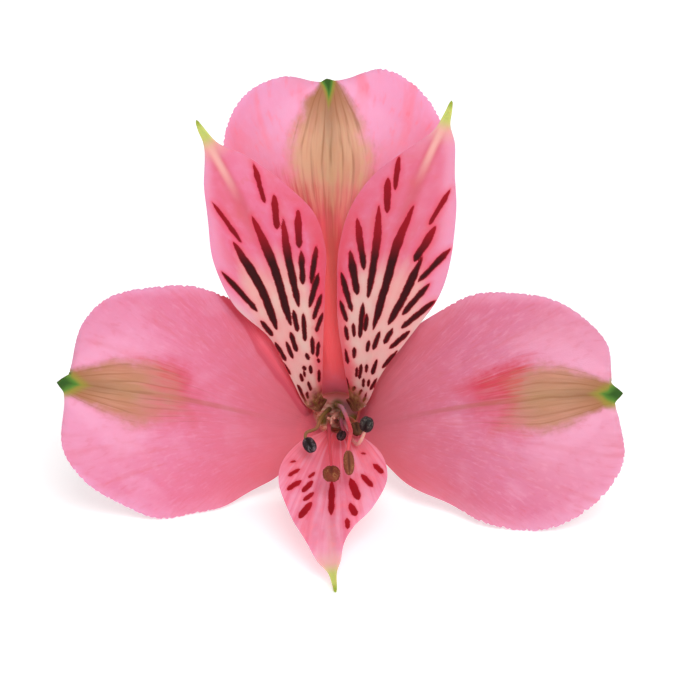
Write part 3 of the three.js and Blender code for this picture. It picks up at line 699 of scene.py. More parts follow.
LOWER_DASHES = [
    (4, (300, 469), (288, 476)), (5, (302, 480), (287, 490)), (3, (315, 472), (308, 478)),
    (5, (313, 481), (302, 492)), (4, (314, 492), (303, 501)), (7, (312, 502), (299, 518)),
    (6, (332, 480), (331, 515)), (8, (350, 478), (359, 500)), (7, (350, 503), (356, 516)),
    (5, (347, 518), (348, 529)), (5, (361, 474), (373, 487)), (5, (373, 464), (383, 473)),
    (2, (290, 462), (296, 461)), (2, (361, 453), (366, 454)),
]
NO_DASH = 40.0             # drawing units, further than any dash is looked for
CURVE_STEPS = 9            # places on a dash that bends
DASH_GAPS = (-4, 12)       # drawing units, the least and the most that a petal keeps of its gap to a dash
GROUND_TOP = 455.0         # the pale ground starts here, in drawing units up from the lower edge
GROUND_FULL = 412.0
EVEN_HEIGHT = 0.675        # the middle of the tissue's relief


def seen_place(places):
    """Where the eye sees places of the flower's own frame, in drawing units."""
    focal = LENS / SENSOR * DRAWING_SIZE / (EYE[2] - places[..., 2])
    x = DRAWING_SIZE / 2 + focal * (places[..., 0] - EYE[0])
    y = DRAWING_SIZE / 2 - focal * (places[..., 1] - EYE[1])
    return np.stack([x, y], axis=-1)


def dash_marks(dashes, starts_sharp=0.3, ends_sharp=0.14, slimming=0.22, bleed=0.8):
    """The named values that an inner petal's finish reads: the distance to the nearest dash's outline
    (negative inside it), how far down that dash the place is, and its height in the drawing."""
    def measure(places):
        seen = seen_place(places)
        nearest = np.full(seen.shape[:-1], NO_DASH)
        down = np.zeros(seen.shape[:-1])
        for width, *line in dashes:
            line = np.array(line, float)
            if len(line) > 2:
                line = along_rail(line, np.linspace(0, 1, CURVE_STEPS))
            run = way_length(line)
            for a, b, run_a, run_b in zip(line, line[1:], run, run[1:]):
                share = np.clip(((seen - a) @ (b - a)) / ((b - a) @ (b - a)), 0, 1)
                gap = np.linalg.norm(seen - (a + share[..., None] * (b - a)), axis=-1)
                at = (run_a + share * (run_b - run_a)) / run[-1]
                body = (np.minimum(1, at / starts_sharp) ** 0.6
                        * np.minimum(1, (1 - at) / ends_sharp) ** 0.5 * (1 - slimming * at))
                field = gap - (width + bleed) / 2 * body
                down = np.where(field < nearest, at, down)
                nearest = np.minimum(field, nearest)
        return {"dash_gap": np.clip(nearest, *DASH_GAPS), "dash_down": down,
                "face_height": DRAWING_SIZE - seen[..., 1]}
    return measure


INNER_BEHIND = "ecb4c0"
GROUND_SHADE = "dca8a2"
STRIP_RED = "d44c5e"
CENTRE_RED = "d8404e"
STRIPE_PALE = "f0b4cc"
STRIPE_RED = "d85a7c"
STREAK_RED = "c85a64"
STREAK_PALE = "efcabc"
CREAM = "e9bcc0"
TIP_BLUSH = "dfaaa0"
TIP_YELLOW = "b9c56a"
TIP_END = "8fa43a"
CLAW_BROWN = "7a3428"
CLAW_OLIVE = "967238"
CLAW_PALE = "cc9478"
USUAL_INNER_MARKINGS = {
    "ground": "d8beb2", "ground_amount": 0.92, "dark_from": 475.0, "dark_to": 425.0, "light_dash": "960a1c",
    "dark_dash": "360408", "halo": "dc2f4c", "halo_strength": 0.6, "streak": 0.6, "stripes": 0.0,
    "cream": 0.0, "centre_red": 0.0,
}

# The inner petals' markings, shared by all three: the pale ground low down, a paler outer margin and a
# redder one at the strip between the two upper petals (on the side with strip_side's sign), the dashes
# with their halo, the streak along the middle, the yellow-green tip and the olive-brown claw. Lengths are
# in mm, but heights on the face and distances to a dash are in drawing units.
INNER_MARKS = ("across", "fan", "from_tip", "along", "margin", "back", "dash_gap", "dash_down", "face_height")
inner_markings, given = new_group(
    "inner_markings",
    values=(*INNER_MARKS, "streaks", "mottle", "patches", "height", "variant", "strip_side", "ground_amount",
            "dark_from", "dark_to", "halo_strength", "streak", "stripes", "cream", "centre_red"),
    colours=("tissue", "rim", "ground", "light_dash", "dark_dash", "halo"),
    results=("color",),
)
across, along, margin, from_tip = given.across, given.along, given.margin, given.from_tip
face_height, mottle = given.face_height, given.mottle
aside = abs(across)

outer_side = (across * given.strip_side * -1.0).rise(-1.0, 2.0)
outer_side = outer_side.reckon("MAXIMUM", face_height.rise(500.0, 540.0) * 0.25)
ragged = face_height + (given.streaks - 0.5) * 50.0 + margin.rise(4.0, 0.5) * 46.0
in_ground = ragged.rise(GROUND_TOP, GROUND_FULL) * given.ground_amount * along.rise(8.0, 13.0)
at_strip = (across * given.strip_side).rise(0.4, 1.6) * (margin + mottle * 1.6).rise(3.2, 1.2)
fine = grain(given.fan * 70.0, along * 0.05, given.variant + 9.0)
red_streak = aside.rise(1.6, 0.2) * (from_tip.rise(26.0, 14.0) * from_tip.rise(2.0, 6.0))
pale_streak = aside.rise(0.9, 0.1) * (from_tip.rise(14.0, 7.0) * from_tip.rise(2.0, 4.0))
outline = given.dash_gap + ((mottle - 0.5) * 2.6 + (given.height - EVEN_HEIGHT) * 2.4)
glow = outline.rise(2.0, 0.3) * 0.5 + outline.rise(7.0, 1.0) * 0.4
deep = face_height.rise(given.dark_from, given.dark_to) + given.dash_down.rise(0.0, 0.8) * 0.3
deep = deep.reckon("MINIMUM", 1.0) * outline.rise(0.3, -1.6)
on_dash = outline.rise(0.5, -0.4) * (1.0 - given.back * 0.7)
claw_grain = grain(across * 1.1, along * 0.45, given.variant + 5.0, detail=3.0)
claw = over(claw_grain.rise(0.38, 0.5), CLAW_BROWN, CLAW_OLIVE)
put_out(inner_markings, color=coats(
    given.tissue,
    (outer_side * margin.rise(3.6, 0.8) * 0.75, given.rim),
    (in_ground, over(given.patches.rise(0.4, 0.62), given.ground, GROUND_SHADE)),
    (at_strip * face_height.rise(540.0, 450.0) * 0.8, STRIP_RED),
    (aside.rise(3.0, 0.6) * along.rise(32.0, 24.0) * given.centre_red, CENTRE_RED),
    (fine.rise(0.5, 0.64) * given.stripes, STRIPE_PALE),
    (fine.rise(0.48, 0.34) * given.stripes, STRIPE_RED),
    (red_streak * given.streak, STREAK_RED),
    (pale_streak * given.streak, STREAK_PALE),
    ((from_tip + given.streaks * 4.0).rise(9.5, 5.0) * given.cream, CREAM),
    (glow * ((1.0 - in_ground * 0.66) * given.halo_strength), given.halo),
    (on_dash, over(deep, given.light_dash, given.dark_dash)),
    (from_tip.rise(7.0, 4.2) * 0.65, TIP_BLUSH),
    (from_tip.rise(4.8, 2.4) * aside.rise(2.2, 0.8), TIP_YELLOW),
    (from_tip.rise(1.4, 0.2), TIP_END),
    ((along + mottle * 5.0).rise(14.5, 10.5) * 0.85, over(claw_grain.rise(0.52, 0.66), claw, CLAW_PALE)),
))


def inner_finish(name, body, edge, variant, throat="d06a6c", throat_reach=12.0, **markings):
    """An inner petal's finish: rosy tissue with the inner markings, whose values are given by name."""
    material, tree = bare_material(name)
    tissue, streaks, mottle, patches, height = group_in(
        tree, petal_tissue, TISSUE_MARKS, body=body, edge=edge, throat=throat, behind=INNER_BEHIND,
        edge_width=0.9, far_reach=9.0, throat_reach=throat_reach, throat_full=7.0, vein_count=30.0,
        variant=variant)
    marked, = group_in(
        tree, inner_markings, INNER_MARKS, tissue=tissue, streaks=streaks, mottle=mottle, patches=patches,
        height=height, variant=variant, **{**USUAL_INNER_MARKINGS, **markings})
    petal_satin(tree, marked, height, mottle)
    return material


make_petal("petal_inner_left", "inner_tepal_left", "inner_tepal", INNER_LEFT_RIBS, INNER_GRID,
           inner_finish("inner_left_tissue", body="d87090", edge="dc88a8", rim="e09ab8", strip_side=-1.0,
                        variant=120.0),
           seed=1.3, more_marks=dash_marks(LEFT_DASHES))
make_petal("petal_inner_right", "inner_tepal_right", "inner_tepal", INNER_RIGHT_RIBS, INNER_GRID,
           inner_finish("inner_right_tissue", body="d46e8a", edge="d8849e", rim="e09cb8", strip_side=1.0,
                        variant=160.0, ground="d6bab0"),
           seed=3.7, more_marks=dash_marks(RIGHT_DASHES))
make_petal("petal_inner_lower", "inner_tepal_lower", "inner_tepal", INNER_LOWER_RIBS, INNER_GRID,
           inner_finish("inner_lower_tissue", body="e0849e", edge="e8a3be", rim="e8a3be", strip_side=0.0,
                        variant=200.0, throat="ff7880", ground_amount=0.0, dark_from=20.0, dark_to=10.0,
                        light_dash="a80c1e", dark_dash="5a0810", halo="dc3c54", halo_strength=0.5,
                        streak=0.2, stripes=0.36, throat_reach=30.0, cream=0.85, centre_red=0.5),
           seed=5.2,
           more_marks=dash_marks(LOWER_DASHES, ends_sharp=0.2, slimming=0.0, bleed=0.2))

# ---- the ovary ----
# The small green body that all petals and stamens stand on: six rounded ribs, one below each petal, and
# a slightly raised top. It narrows into the flower stalk and is one growth with it.
OVARY_LENGTH = 8.6
OVARY_RADIUS = 3.5
OVARY_RIBS = 6
OVARY_RIB_DEPTH = 0.07     # share of the radius
OVARY_PROFILE = np.array([   # share of the radius, share of the length below the top
    (0.0, -0.045), (0.5, -0.045), (0.74, -0.04), (0.86, -0.02), (0.94, 0.0), (0.985, 0.03), (1.0, 0.1),
    (0.97, 0.28), (0.87, 0.48), (0.7, 0.68), (0.52, 0.84), (0.4, 0.95), (0.35, 1.0), (0.0, 1.0),
])
OVARY_ROWS = 90
OVARY_SIDES = 144
SKIN_RELIEF = (0.5, 0.0001)     # strength, and depth in m
SKIN_ROUGHNESS = (0.36, 0.55)
FOLD_ROSE = "e27c70"
FOLD_PALE = "ffc8ac"
SIDE_MAUVE = "d08088"
UPPER_PINK = "ff9c9a"
SPOT_GREEN = "86702a"
OVARY_SPOTS = ((0.1, 1.25, 1.15), (-2.0, -1.0, 1.1), (2.4, -0.8, 1.1))   # mm to the right, up, and radius


def ring_faces(rows, sides):
    """The quads between closed rings of places, and one face over each end."""
    ring = np.arange(rows * sides).reshape(rows, sides)
    onward = np.roll(ring, -1, axis=1)
    quads = np.stack([ring[:-1], onward[:-1], onward[1:], ring[1:]], axis=-1).reshape(-1, 4).tolist()
    return [*quads, ring[0, ::-1].tolist(), ring[-1].tolist()]


# Green plant skin, shared by the ovary, the stalk, the style and the filaments: one colour that turns
# into another along the piece, fine grain along its length, and a soft mottling.
plant_skin, given = new_group(
    "plant_skin",
    values=("along", "around", "turn_from", "turn_to", "grain_amount"),
    colours=("near", "far", "grain_colour"),
    results=("color", "mottle", "height"),
)
mottle = grain(given.around * 1.6, given.along * 0.5, 2.0, detail=4.0)
lines = grain(given.around * 9.0, given.along * 0.5, 6.0)
turned = (given.along + (mottle - 0.5) * 4.0).rise(given.turn_from, given.turn_to)
grained = lines.rise(0.42, 0.68) * given.grain_amount
skin = coats(given.near, (turned, given.far), (grained, given.grain_colour))
put_out(plant_skin, color=skin, mottle=mottle, height=lines * 0.6 + mottle * 0.6)


def skin_finish(name, near, far, turn_from, turn_to, grain_colour, grain_amount, light_through=0.12,
                top=None, top_ends=(0.5, -0.1)):
    """A green or pink skin that shines a little; top makes the colour of its first stretch."""
    material, tree = bare_material(name)
    colour, mottle, height = group_in(
        tree, plant_skin, ("along", "around"), near=near, far=far, turn_from=turn_from, turn_to=turn_to,
        grain_colour=grain_colour, grain_amount=grain_amount)
    if top:
        along, = marks_of(tree, "along")
        colour = over(along.rise(*top_ends), colour, top(tree))
    soft_surface(tree, colour, height, SKIN_RELIEF, mottle, SKIN_ROUGHNESS, Specular_IOR_Level=0.4,
                 Subsurface_Weight=light_through, Subsurface_Scale=0.0008, Subsurface_Radius=(1.0, 0.7, 0.35))
    return material


def ovary_top(tree):
    """The ovary's top inside the petals: pale folds, mauve at the right, and green spots between claws."""
    to_right, up = marks_of(tree, "to_right", "up")
    folds = grain(to_right * 1.3, up * 3.2, detail=3.0).rise(0.36, 0.64)
    colour = coats(FOLD_ROSE, (folds, FOLD_PALE), (to_right.rise(0.2, 1.2), SIDE_MAUVE),
                   (up.rise(1.2, 2.2), UPPER_PINK))
    for spot_right, spot_up, spot_size in OVARY_SPOTS:
        off_right, off_up = to_right - spot_right, up - spot_up
        off = (off_right * off_right + off_up * off_up).reckon("SQRT")
        colour = over(off.rise(spot_size, spot_size * 0.3), colour, SPOT_GREEN)
    return colour


profile_run = way_length(OVARY_PROFILE * [OVARY_RADIUS, OVARY_LENGTH])
ovary_shares = np.interp(np.linspace(0, profile_run[-1], OVARY_ROWS), profile_run,
                         np.linspace(0, 1, len(OVARY_PROFILE)))
radius, below = along_rail(np.pad(OVARY_PROFILE, ((0, 0), (0, 1))), ovary_shares)[:, :2].T
angle = np.linspace(0, 2 * math.pi, OVARY_SIDES, endpoint=False)
ribbing = 1 + OVARY_RIB_DEPTH * (np.abs(np.cos(OVARY_RIBS / 2 * angle)) ** 0.8 - 1)
reach = np.maximum(radius, 0.002)[:, None] * OVARY_RADIUS * ribbing[None, :]
depth = np.repeat(below[:, None] * OVARY_LENGTH, OVARY_SIDES, axis=1)
ovary_places = np.stack([reach * np.cos(angle), reach * np.sin(angle), -depth], axis=-1)
make_piece("ovary_ribbed", in_world(ovary_places), ring_faces(OVARY_ROWS, OVARY_SIDES),
           skin_finish("ovary_skin", "8f9a55", "74863f", 0.0, 6.0, "5f7232", 0.6, top=ovary_top),
           "ovary", "ovary", along=depth, around=np.repeat(angle[None, :] * OVARY_RADIUS, OVARY_ROWS, axis=0),
           to_right=ovary_places[..., 0], up=ovary_places[..., 1])

# ---- the flower stalk ----
# The bloom's own stalk: a firm green stem with faint ribs and a brown flush. It leaves the ovary
# straight, bends down to the surface and lies on it to its cut end.
STALK_DIAMETER = 2.2
STALK_GAP = 0.3            # mm from the ovary's end to the start of the stalk's measured length
STALK_STRAIGHT = 1.2       # mm to the start of the bend
STALK_SINK = 0.4           # mm that it starts inside the ovary
STALK_TAIL = 34            # mm, the stretch that lies on the surface
STALK_SWAY = 5             # mm that the tail wanders sideways
STALK_SIDES = 48
STALK_ROWS = 200
STALK_RIBS = 6
STALK_RIB_DEPTH = 0.025    # share of the radius
CUT_RINGS = (0.97, 0.9, 0.55, 0.45, 0.02)                    # share of the radius, from the rim inwards
CUT_DEPTHS = np.array([0.02, 0.03, 0.08, 0.05, 0.05])        # mm that each ring lies below the rim
CUT_OUT = 0.03             # mm that the rim lies beyond the stalk's last ring
CUT_TONE = 8.0             # mm further along, from where the cut face takes its tone
STALK_CLEARANCE = 0.00001  # m that it stays above the surface
RING_TURN = (0.0, 1.0, 0.35)   # a direction that the rings of all tubes are turned by


def tube_rings(line, radii, sides, ribs=0, rib_depth=0.0, capped=0):
    """Closed rings round a line, with how far along and how far around each place is, in mm. The last,
    capped rings lie in the plane of the tube's end."""
    ahead = np.gradient(line[:len(line) - capped], axis=0)
    ahead = unit(np.vstack([ahead, np.repeat(ahead[-1:], capped, axis=0)]))
    right = unit(np.cross(ahead, RING_TURN))
    upward = np.cross(right, ahead)
    angle = np.linspace(0, 2 * math.pi, sides, endpoint=False)
    radii = np.asarray(radii, float)[:, None] * (1 + rib_depth * np.cos(ribs * angle))[None, :]
    out = np.cos(angle)[:, None] * right[:, None, :] + np.sin(angle)[:, None] * upward[:, None, :]
    places = line[:, None, :] + radii[..., None] * out
    along = np.repeat(way_length(line)[:, None], sides, axis=1)
    around = np.abs(angle - math.pi)[None, :] * radii.max()
    return places, along, np.repeat(around, len(line), axis=0)


bend_start = -OVARY_LENGTH - STALK_GAP - STALK_STRAIGHT
drop = OVARY_TOP[2] + bend_start * math.sin(FACE_TILT) - STALK_DIAMETER / 2
bend_radius = drop / (1 - math.cos(FACE_TILT))
stalk_points = [(0, 0, STALK_SINK - OVARY_LENGTH), (0, 0, bend_start + STALK_STRAIGHT / 2),
                (0, 0, bend_start)]
for share in (0.25, 0.5, 0.75, 1):
    turned = share * FACE_TILT
    stalk_points.append((0, bend_radius * (1 - math.cos(turned)),
                         bend_start - bend_radius * math.sin(turned)))
_, bend_up, bend_forward = stalk_points[-1]
for share in (0.15, 0.3, 0.45, 0.6, 0.8, 1):
    run = share * STALK_TAIL
    stalk_points.append((STALK_SWAY * share ** 2, bend_up + run * math.sin(FACE_TILT),
                         bend_forward - run * math.cos(FACE_TILT)))
stalk_line = along_rail(stalk_points, np.linspace(0, 1, STALK_ROWS))
stalk_run = way_length(stalk_line)
stalk_radii = STALK_DIAMETER / 2 * (0.93 + 0.1 * ramp(stalk_run, 4, 0) + 0.02 * np.sin(stalk_run * 0.5))
stalk_way = unit(stalk_line[-1] - stalk_line[-2])
cut_line = stalk_line[-1] + stalk_way * (CUT_OUT - CUT_DEPTHS[:, None])
stalk_line = np.vstack([stalk_line, cut_line])
stalk_radii = np.concatenate([stalk_radii, stalk_radii[-1] * np.array(CUT_RINGS)])
rings, along, around = tube_rings(stalk_line, stalk_radii, STALK_SIDES, STALK_RIBS, STALK_RIB_DEPTH,
                                 capped=len(CUT_RINGS))
along = along + (np.arange(len(stalk_line)) >= STALK_ROWS)[:, None] * CUT_TONE
stalk_world = in_world(rings)
stalk_world[..., 2] = np.maximum(stalk_world[..., 2], STALK_CLEARANCE)
make_piece("stalk_stem", stalk_world, ring_faces(len(stalk_line), STALK_SIDES),
           skin_finish("stalk_skin", "7d8a45", "8a7f4a", 6.0, 30.0, "6b4a34", 0.5),
           "flower_stalk", "stalk", along=along, around=around)

# ---- the style ----
# The style stands up the middle of the stamens: a thin pink-brown stem that ends in three short,
# spreading stigma lobes. Stem and lobes are one piece of tissue.
STYLE_WAY = [(0, 0, -0.2), (0, 0, 8), (-0.3, -0.3, 12), (-0.7, -0.7, 15)]
STYLE_DIAMETER = 0.7
STYLE_TAPER = 0.12         # share of its diameter
STYLE_ROWS = 90
STIGMA_LOBES = 3
STIGMA_LOBE_LENGTH = 0.9
STIGMA_LOBE_DIAMETER = 0.4
STIGMA_SPREAD = math.radians(35)
STIGMA_CURL = 0.12         # mm that a lobe's end curls outwards
STIGMA_SINK = 0.45         # mm that a lobe starts inside the stem
STIGMA_ROWS = 24
THREAD_SIDES = 20


def thread(line, radii, blunt):
    """A closed tube round a line whose ends are rounded off within the blunt length."""
    run = way_length(line)
    return tube_rings(line, radii * rounded(np.minimum(run, run[-1] - run), blunt, 0.0004), THREAD_SIDES)


def run_shares(line):
    """How far along its run each place of a line is, from 0 to 1."""
    run = way_length(line)
    return run / run[-1]


style_line = along_rail(STYLE_WAY, np.linspace(0, 1, STYLE_ROWS))
style_radii = STYLE_DIAMETER / 2 * (1 - STYLE_TAPER * run_shares(style_line))
style_parts = [thread(style_line, style_radii, 0.3)]
onward = unit(style_line[-1] - style_line[-2])
aside = unit(np.cross([1.0, 0.0, 0.0], onward))
for lobe in range(STIGMA_LOBES):
    lobe_angle = lobe * 2 * math.pi / STIGMA_LOBES
    outward = aside * math.cos(lobe_angle) + np.cross(onward, aside) * math.sin(lobe_angle)
    way = onward * math.cos(STIGMA_SPREAD) + outward * math.sin(STIGMA_SPREAD)
    share = np.linspace(0, 1, STIGMA_ROWS)[:, None]
    lobe_line = (style_line[-1] - onward * STIGMA_SINK + share * way * STIGMA_LOBE_LENGTH
                 + outward * STIGMA_CURL * share ** 2)
    lobe_radii = STIGMA_LOBE_DIAMETER / 2 * (0.8 + 0.25 * run_shares(lobe_line))
    style_parts.append(thread(lobe_line, lobe_radii, 0.14))

faces, first = [], 0
for rings, _, _ in style_parts:
    faces += [[first + corner for corner in face] for face in ring_faces(*rings.shape[:2])]
    first += rings[..., 0].size
places = np.concatenate([rings.reshape(-1, 3) for rings, _, _ in style_parts])
along, around = (np.concatenate([part[mark].ravel() for part in style_parts]) for mark in (1, 2))
make_piece("style_and_stigma", in_world(places), faces,
           skin_finish("style_skin", "c98a78", "d8a894", 4.0, 14.0, "a0605c", 0.5, light_through=0.2),
           "style", "style", along=along, around=around)

# ---- the stamens ----
# Six stamens stand on a ring round the style. Each is a curved, tapering filament with an anther on
# its end: two pollen sacs side by side with a furrow between them. Three anthers are still closed and
# dark, with pale flecks of painted sheen; the others have ripened brown and are dusty with pollen.
STAMEN_RING_RADIUS = 1.2
STAMEN_SINK = 0.1          # mm that a filament starts inside the ovary
FILAMENT_DIAMETER = 0.7
FILAMENT_ROWS = 110
FILAMENT_TURN = 3          # mm to each side of the place where its colour turns
FILAMENT_FOOT_TURN = 2     # mm to each side of its foot's end
ANTHER_GAP = 0.3           # mm from the filament's measured end to the anther's foot
ANTHER_SINK = 0.7          # mm that the filament runs on from there
ANTHER_ROWS = 84
ANTHER_SIDES = 96
ANTHER_BLUNT = 2.4         # 2 is an ellipse
ANTHER_FLAT = 0.12         # share of its width that it is flatter from front to back
ANTHER_TURN = (0.0, 0.3, 1.0)   # the direction that its furrow is turned by
LUMPS_PER_MM = 6.5
GRAINS_PER_MM = 14
FURROW_WIDTH = 0.27        # radians
# painted shade: the furrow between the sacs is darkened by its depth
FURROW_PAINTED_SHADE = "1c0c0c"
FURROW_SHADE_STRENGTH = 1.8      # of that colour in a furrow, times its depth
FLECK_RATE = 5200.0        # per metre, of the pollen's grains
PATCH_RATE = 1100.0        # per metre, of the patches that they lie in
SAC_RELIEF = (0.6, 0.00008)     # strength, and depth in m
SAC_ROUGHNESS = (0.5, 0.85)
# A stamen's azimuth in degrees; its filament's way, and its anther's middle, direction, width and length,
# in mm; "filament": its foot's colour, where the foot ends, the colour above, the colour of its end, and
# where that starts; "anther": the skin's colour, the colour and amount of its pale flecks (pollen dust on a
# ripe anther, painted sheen on a closed one), the roughness in mm, and the furrow's depth as a share.
STAMENS = [
    {"azimuth": 150, "way": [(-1.6, 0.2, 8), (-2.3, -0.7, 15), (-2.9, -1.9, 20.3), (-4.15, -2.4, 22.5)],
     "middle": (-3.7, -4.05, 24.8), "points": (0.35, -0.6, 0.7), "size": (1.8, 2.8),
     "filament": ("7c6a34", 17.0, "a07450", "8a6844", 20.0),
     "anther": ("180c10", "a0929a", 0.42, 0.02, 0.34)},
    {"azimuth": 270, "way": [(0.5, -1.5, 8), (1, -1.8, 13.5), (1.45, -2.5, 17.4), (2.3, -3.45, 19.9),
                             (3.05, -4.05, 21.7)],
     "middle": (4.27, -1.15, 26), "points": (0.15, 0.62, 0.77), "size": (2, 2.8),
     "filament": ("a86c64", 12.0, "cc5868", "f3c9b6", 22.0),
     "anther": ("160e0e", "8a8078", 0.42, 0.02, 0.34)},
    {"azimuth": 30, "way": [(0.8, 0.2, 9), (0.7, -0.8, 14), (0.85, -1.6, 18)],
     "middle": (0.75, -2.8, 21.6), "points": (-0.2, -0.4, 0.9), "size": (1.3, 2.4),
     "filament": ("6a6030", 14.0, "a0607c", "8a3848", 17.0),
     "anther": ("1a080c", "7c4c54", 0.4, 0.015, 0.34)},
    {"azimuth": 90, "way": [(0.1, 1.3, 8), (0.9, 0.9, 14), (1.8, -1.2, 19.5), (2.1, -2.2, 24.6),
                            (1.9, -3, 29.4)],
     "middle": (1.8, -6.35, 31), "points": (0.05, -0.95, 0.3), "size": (1.5, 3.6),
     "filament": ("6c6420", 11.5, "a8788a", "d84a54", 18.0),
     "anther": ("823e26", "a8764a", 0.6, 0.06, 0.26)},
    {"azimuth": 210, "way": [(-1.1, -1.1, 9), (-1, -2.3, 16.5), (-0.9, -3.9, 25), (-0.7, -5.9, 30)],
     "middle": (-0.6, -7.8, 33.6), "points": (0, -0.4, 0.9), "size": (2.3, 2.9),
     "filament": ("a8785c", 12.0, "c05060", "cc4454", 18.0),
     "anther": ("782c18", "a0683c", 0.7, 0.16, 0.18)},
    {"azimuth": 330, "way": [(1.6, -0.5, 8), (2.2, -0.7, 13)],
     "middle": (2.9, -1.95, 17.8), "points": (0.15, -0.5, 0.8), "size": (1.7, 2.8),
     "filament": ("6a6030", 10.0, "985c50", "98583c", 13.0),
     "anther": ("543018", "84603a", 0.5, 0.04, 0.3)},
]


def specks(tree, scale, detail):
    """Even noise from 0 to 1 through the space of a piece; its scale is per metre."""
    place = lay(tree, "ShaderNodeTexCoord", give="Object")
    return lay(tree, "ShaderNodeTexNoise", {"Vector": place, "Scale": scale, "Detail": detail})


# Pollen sac skin, shared by all anthers: matte, with painted shade in the furrow, darker where the furrow
# is deeper, and pale flecks on its high places: pollen dust on the ripe anthers, painted sheen on the closed
# ones.
sac_skin, given = new_group("sac_skin", values=("furrow", "dust_amount", "furrow_darkness"),
                            colours=("skin", "dust"), results=("color", "patches", "height"))
flecks, patches = specks(sac_skin, FLECK_RATE, 3.0), specks(sac_skin, PATCH_RATE, 3.0)
# pale flecks: pollen dust on the ripe anthers, painted sheen on the closed ones
dust_and_sheen_flecks = patches.rise(0.4, 0.62) * flecks.rise(0.38, 0.62) * (given.dust_amount - given.furrow)
# painted shade in the furrow, darker as it is deeper
skin = coats(given.skin, (dust_and_sheen_flecks, given.dust), (given.furrow * given.furrow_darkness, FURROW_PAINTED_SHADE))
put_out(sac_skin, color=skin, patches=patches, height=flecks + patches * 0.5)


def anther_finish(name, **values):
    """The finish of one anther's two sacs, with its values for the sac skin."""
    material, tree = bare_material(name)
    colour, patches, height = group_in(tree, sac_skin, ("furrow",), **values)
    soft_surface(tree, colour, height, SAC_RELIEF, patches, SAC_ROUGHNESS, Specular_IOR_Level=0.3)
    return material


def make_anther(name, node, middle, way, size, finish, roughness, furrow_depth):
    """An anther of two sacs, its furrow facing out of the bloom."""
    width, length = size
    aside = unit(np.cross(ANTHER_TURN, way))
    toward = np.cross(way, aside)
    share = np.linspace(-1, 1, ANTHER_ROWS)
    angle = np.linspace(0, 2 * math.pi, ANTHER_SIDES, endpoint=False)
    girth = np.clip(1 - np.abs(share) ** ANTHER_BLUNT, 0.0003, 1) ** 0.5
    front, rear = (np.exp(-((angle - turn * math.pi / 2) / FURROW_WIDTH) ** 2) for turn in (1, 3))
    furrow = (front + rear)[None, :] * girth[:, None]
    radii = (width / 2 * girth[:, None] * (1 - furrow_depth * furrow)
             * (1 - ANTHER_FLAT * np.sin(angle) ** 2)[None, :])
    line = np.array(middle) + share[:, None] * way * length / 2
    out = np.cos(angle)[:, None] * aside + np.sin(angle)[:, None] * toward
    places = line[:, None, :] + radii[..., None] * out[None, :, :]
    spots = [Vector(place) for place in places.reshape(-1, 3).tolist()]
    rough = np.array([noise.noise(spot * LUMPS_PER_MM) + 0.5 * noise.noise(spot * GRAINS_PER_MM)
                      for spot in spots]).reshape(radii.shape)
    places = places + (rough * roughness * np.sqrt(girth)[:, None])[..., None] * out[None, :, :]
    make_piece(name, in_world(places), ring_faces(ANTHER_ROWS, ANTHER_SIDES), finish, node, "anther",
               furrow=furrow)


for number, stamen in enumerate(STAMENS, start=1):
    azimuth = math.radians(stamen["azimuth"])
    foot = (STAMEN_RING_RADIUS * math.cos(azimuth), STAMEN_RING_RADIUS * math.sin(azimuth), -STAMEN_SINK)
    way = unit(np.array(stamen["points"], float))
    end = np.array(stamen["middle"]) - way * (stamen["size"][1] / 2 + ANTHER_GAP)
    line = along_rail([foot, *stamen["way"], end, end + way * ANTHER_SINK], np.linspace(0, 1, FILAMENT_ROWS))
    radii = FILAMENT_DIAMETER / 2 * (1.05 - 0.38 * run_shares(line) ** 0.8)
    rings, along, around = thread(line, radii, 0.2)
    foot_colour, foot_end, near, far, turn = stamen["filament"]
    make_piece(f"filament_{number}_thread", in_world(rings), ring_faces(FILAMENT_ROWS, THREAD_SIDES),
               skin_finish(f"filament_{number}_skin", near, far, turn - FILAMENT_TURN, turn + FILAMENT_TURN,
                           near, 0.3, light_through=0.5, top=lambda tree: foot_colour,
                           top_ends=(foot_end + FILAMENT_FOOT_TURN, foot_end - FILAMENT_FOOT_TURN)),
               f"filament_{number}", "filament", along=along, around=around)
    skin, dust, dust_amount, roughness, furrow_depth = stamen["anther"]
    make_anther(f"anther_{number}_sacs", f"anther_{number}", stamen["middle"], way, stamen["size"],
                anther_finish(f"anther_{number}_skin", skin=skin, dust=dust, dust_amount=dust_amount,
                              furrow_darkness=furrow_depth * FURROW_SHADE_STRENGTH),
                roughness, furrow_depth)

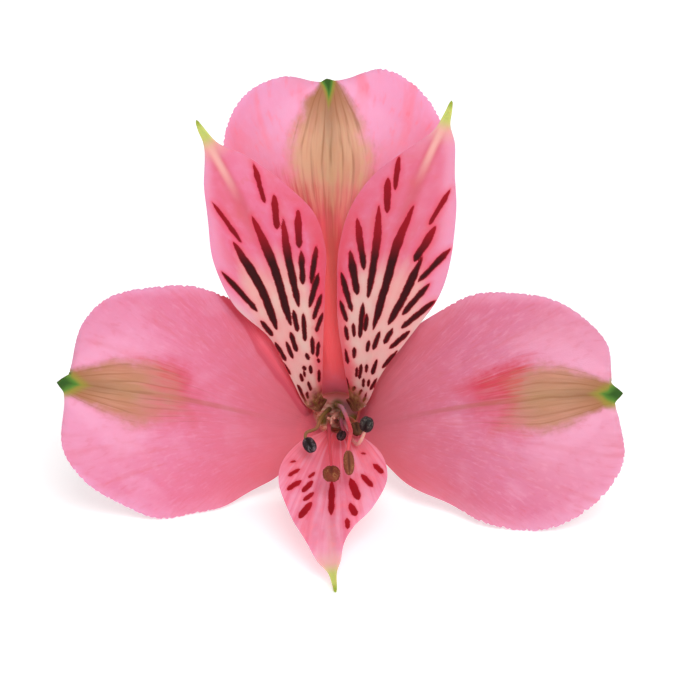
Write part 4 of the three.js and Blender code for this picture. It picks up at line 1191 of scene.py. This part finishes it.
# ---- the surface, the light and the camera ----
# The bloom lies on a plain pale table. A soft lamp from the upper right and the room's even light show
# it; the camera looks straight into its face.
TABLE_HALF = 6.0           # m
TABLE_GLOW = 0.33          # the light that the white table gives back beyond what falls on it
TABLE_GRAIN = 900.0        # per metre
TABLE_TONES = ("f6f6f6", "fafafa")
LAMP_AT = (0.45, -1.9, 1.85)
LAMP_TOWARDS = (0, 0, 0.03)
LAMP_WIDTH = 1.5
LAMP_POWER = 36.0
ROOM_LIGHT = 0.59
ROOM_WHITE = (1, 1, 1, 1)

table_mesh = bpy.data.meshes.new("table_top")
table_mesh.from_pydata([(x * TABLE_HALF, y * TABLE_HALF, 0) for x, y in ((-1, -1), (1, -1), (1, 1), (-1, 1))],
                       [], [(0, 1, 2, 3)])
table = put("table_top", table_mesh)
table_paint, tree = bare_material("table_paint")
surface_of(tree, over(specks(tree, TABLE_GRAIN, 2.0), *TABLE_TONES), 0.85, Specular_IOR_Level=0.1,
           Emission_Color="ffffff", Emission_Strength=TABLE_GLOW)
table_mesh.materials.append(table_paint)

lamp = bpy.data.lights.new("soft_lamp", "AREA")
lamp.shape = "DISK"
lamp.size = LAMP_WIDTH
lamp.energy = LAMP_POWER
lamp_stand = put("soft_lamp", lamp)
lamp_stand.location = LAMP_AT
lamp_stand.rotation_mode = "QUATERNION"
lamp_stand.rotation_quaternion = (Vector(LAMP_TOWARDS) - Vector(LAMP_AT)).to_track_quat("-Z", "Y")

room = bpy.data.worlds.new("pale_room")
room.use_nodes = True
room.node_tree.nodes["Background"].inputs["Color"].default_value = ROOM_WHITE
room.node_tree.nodes["Background"].inputs["Strength"].default_value = ROOM_LIGHT
bpy.context.scene.world = room
bpy.context.scene.view_settings.view_transform = "Standard"

camera = bpy.data.cameras.new("face_camera")
camera.lens = LENS
camera.sensor_width = SENSOR
camera.clip_end = 20
camera_stand = put("face_camera", camera)
camera_stand.location = in_world(EYE)
camera_stand.rotation_euler = (math.pi / 2 - FACE_TILT, 0, 0)
bpy.context.scene.camera = camera_stand
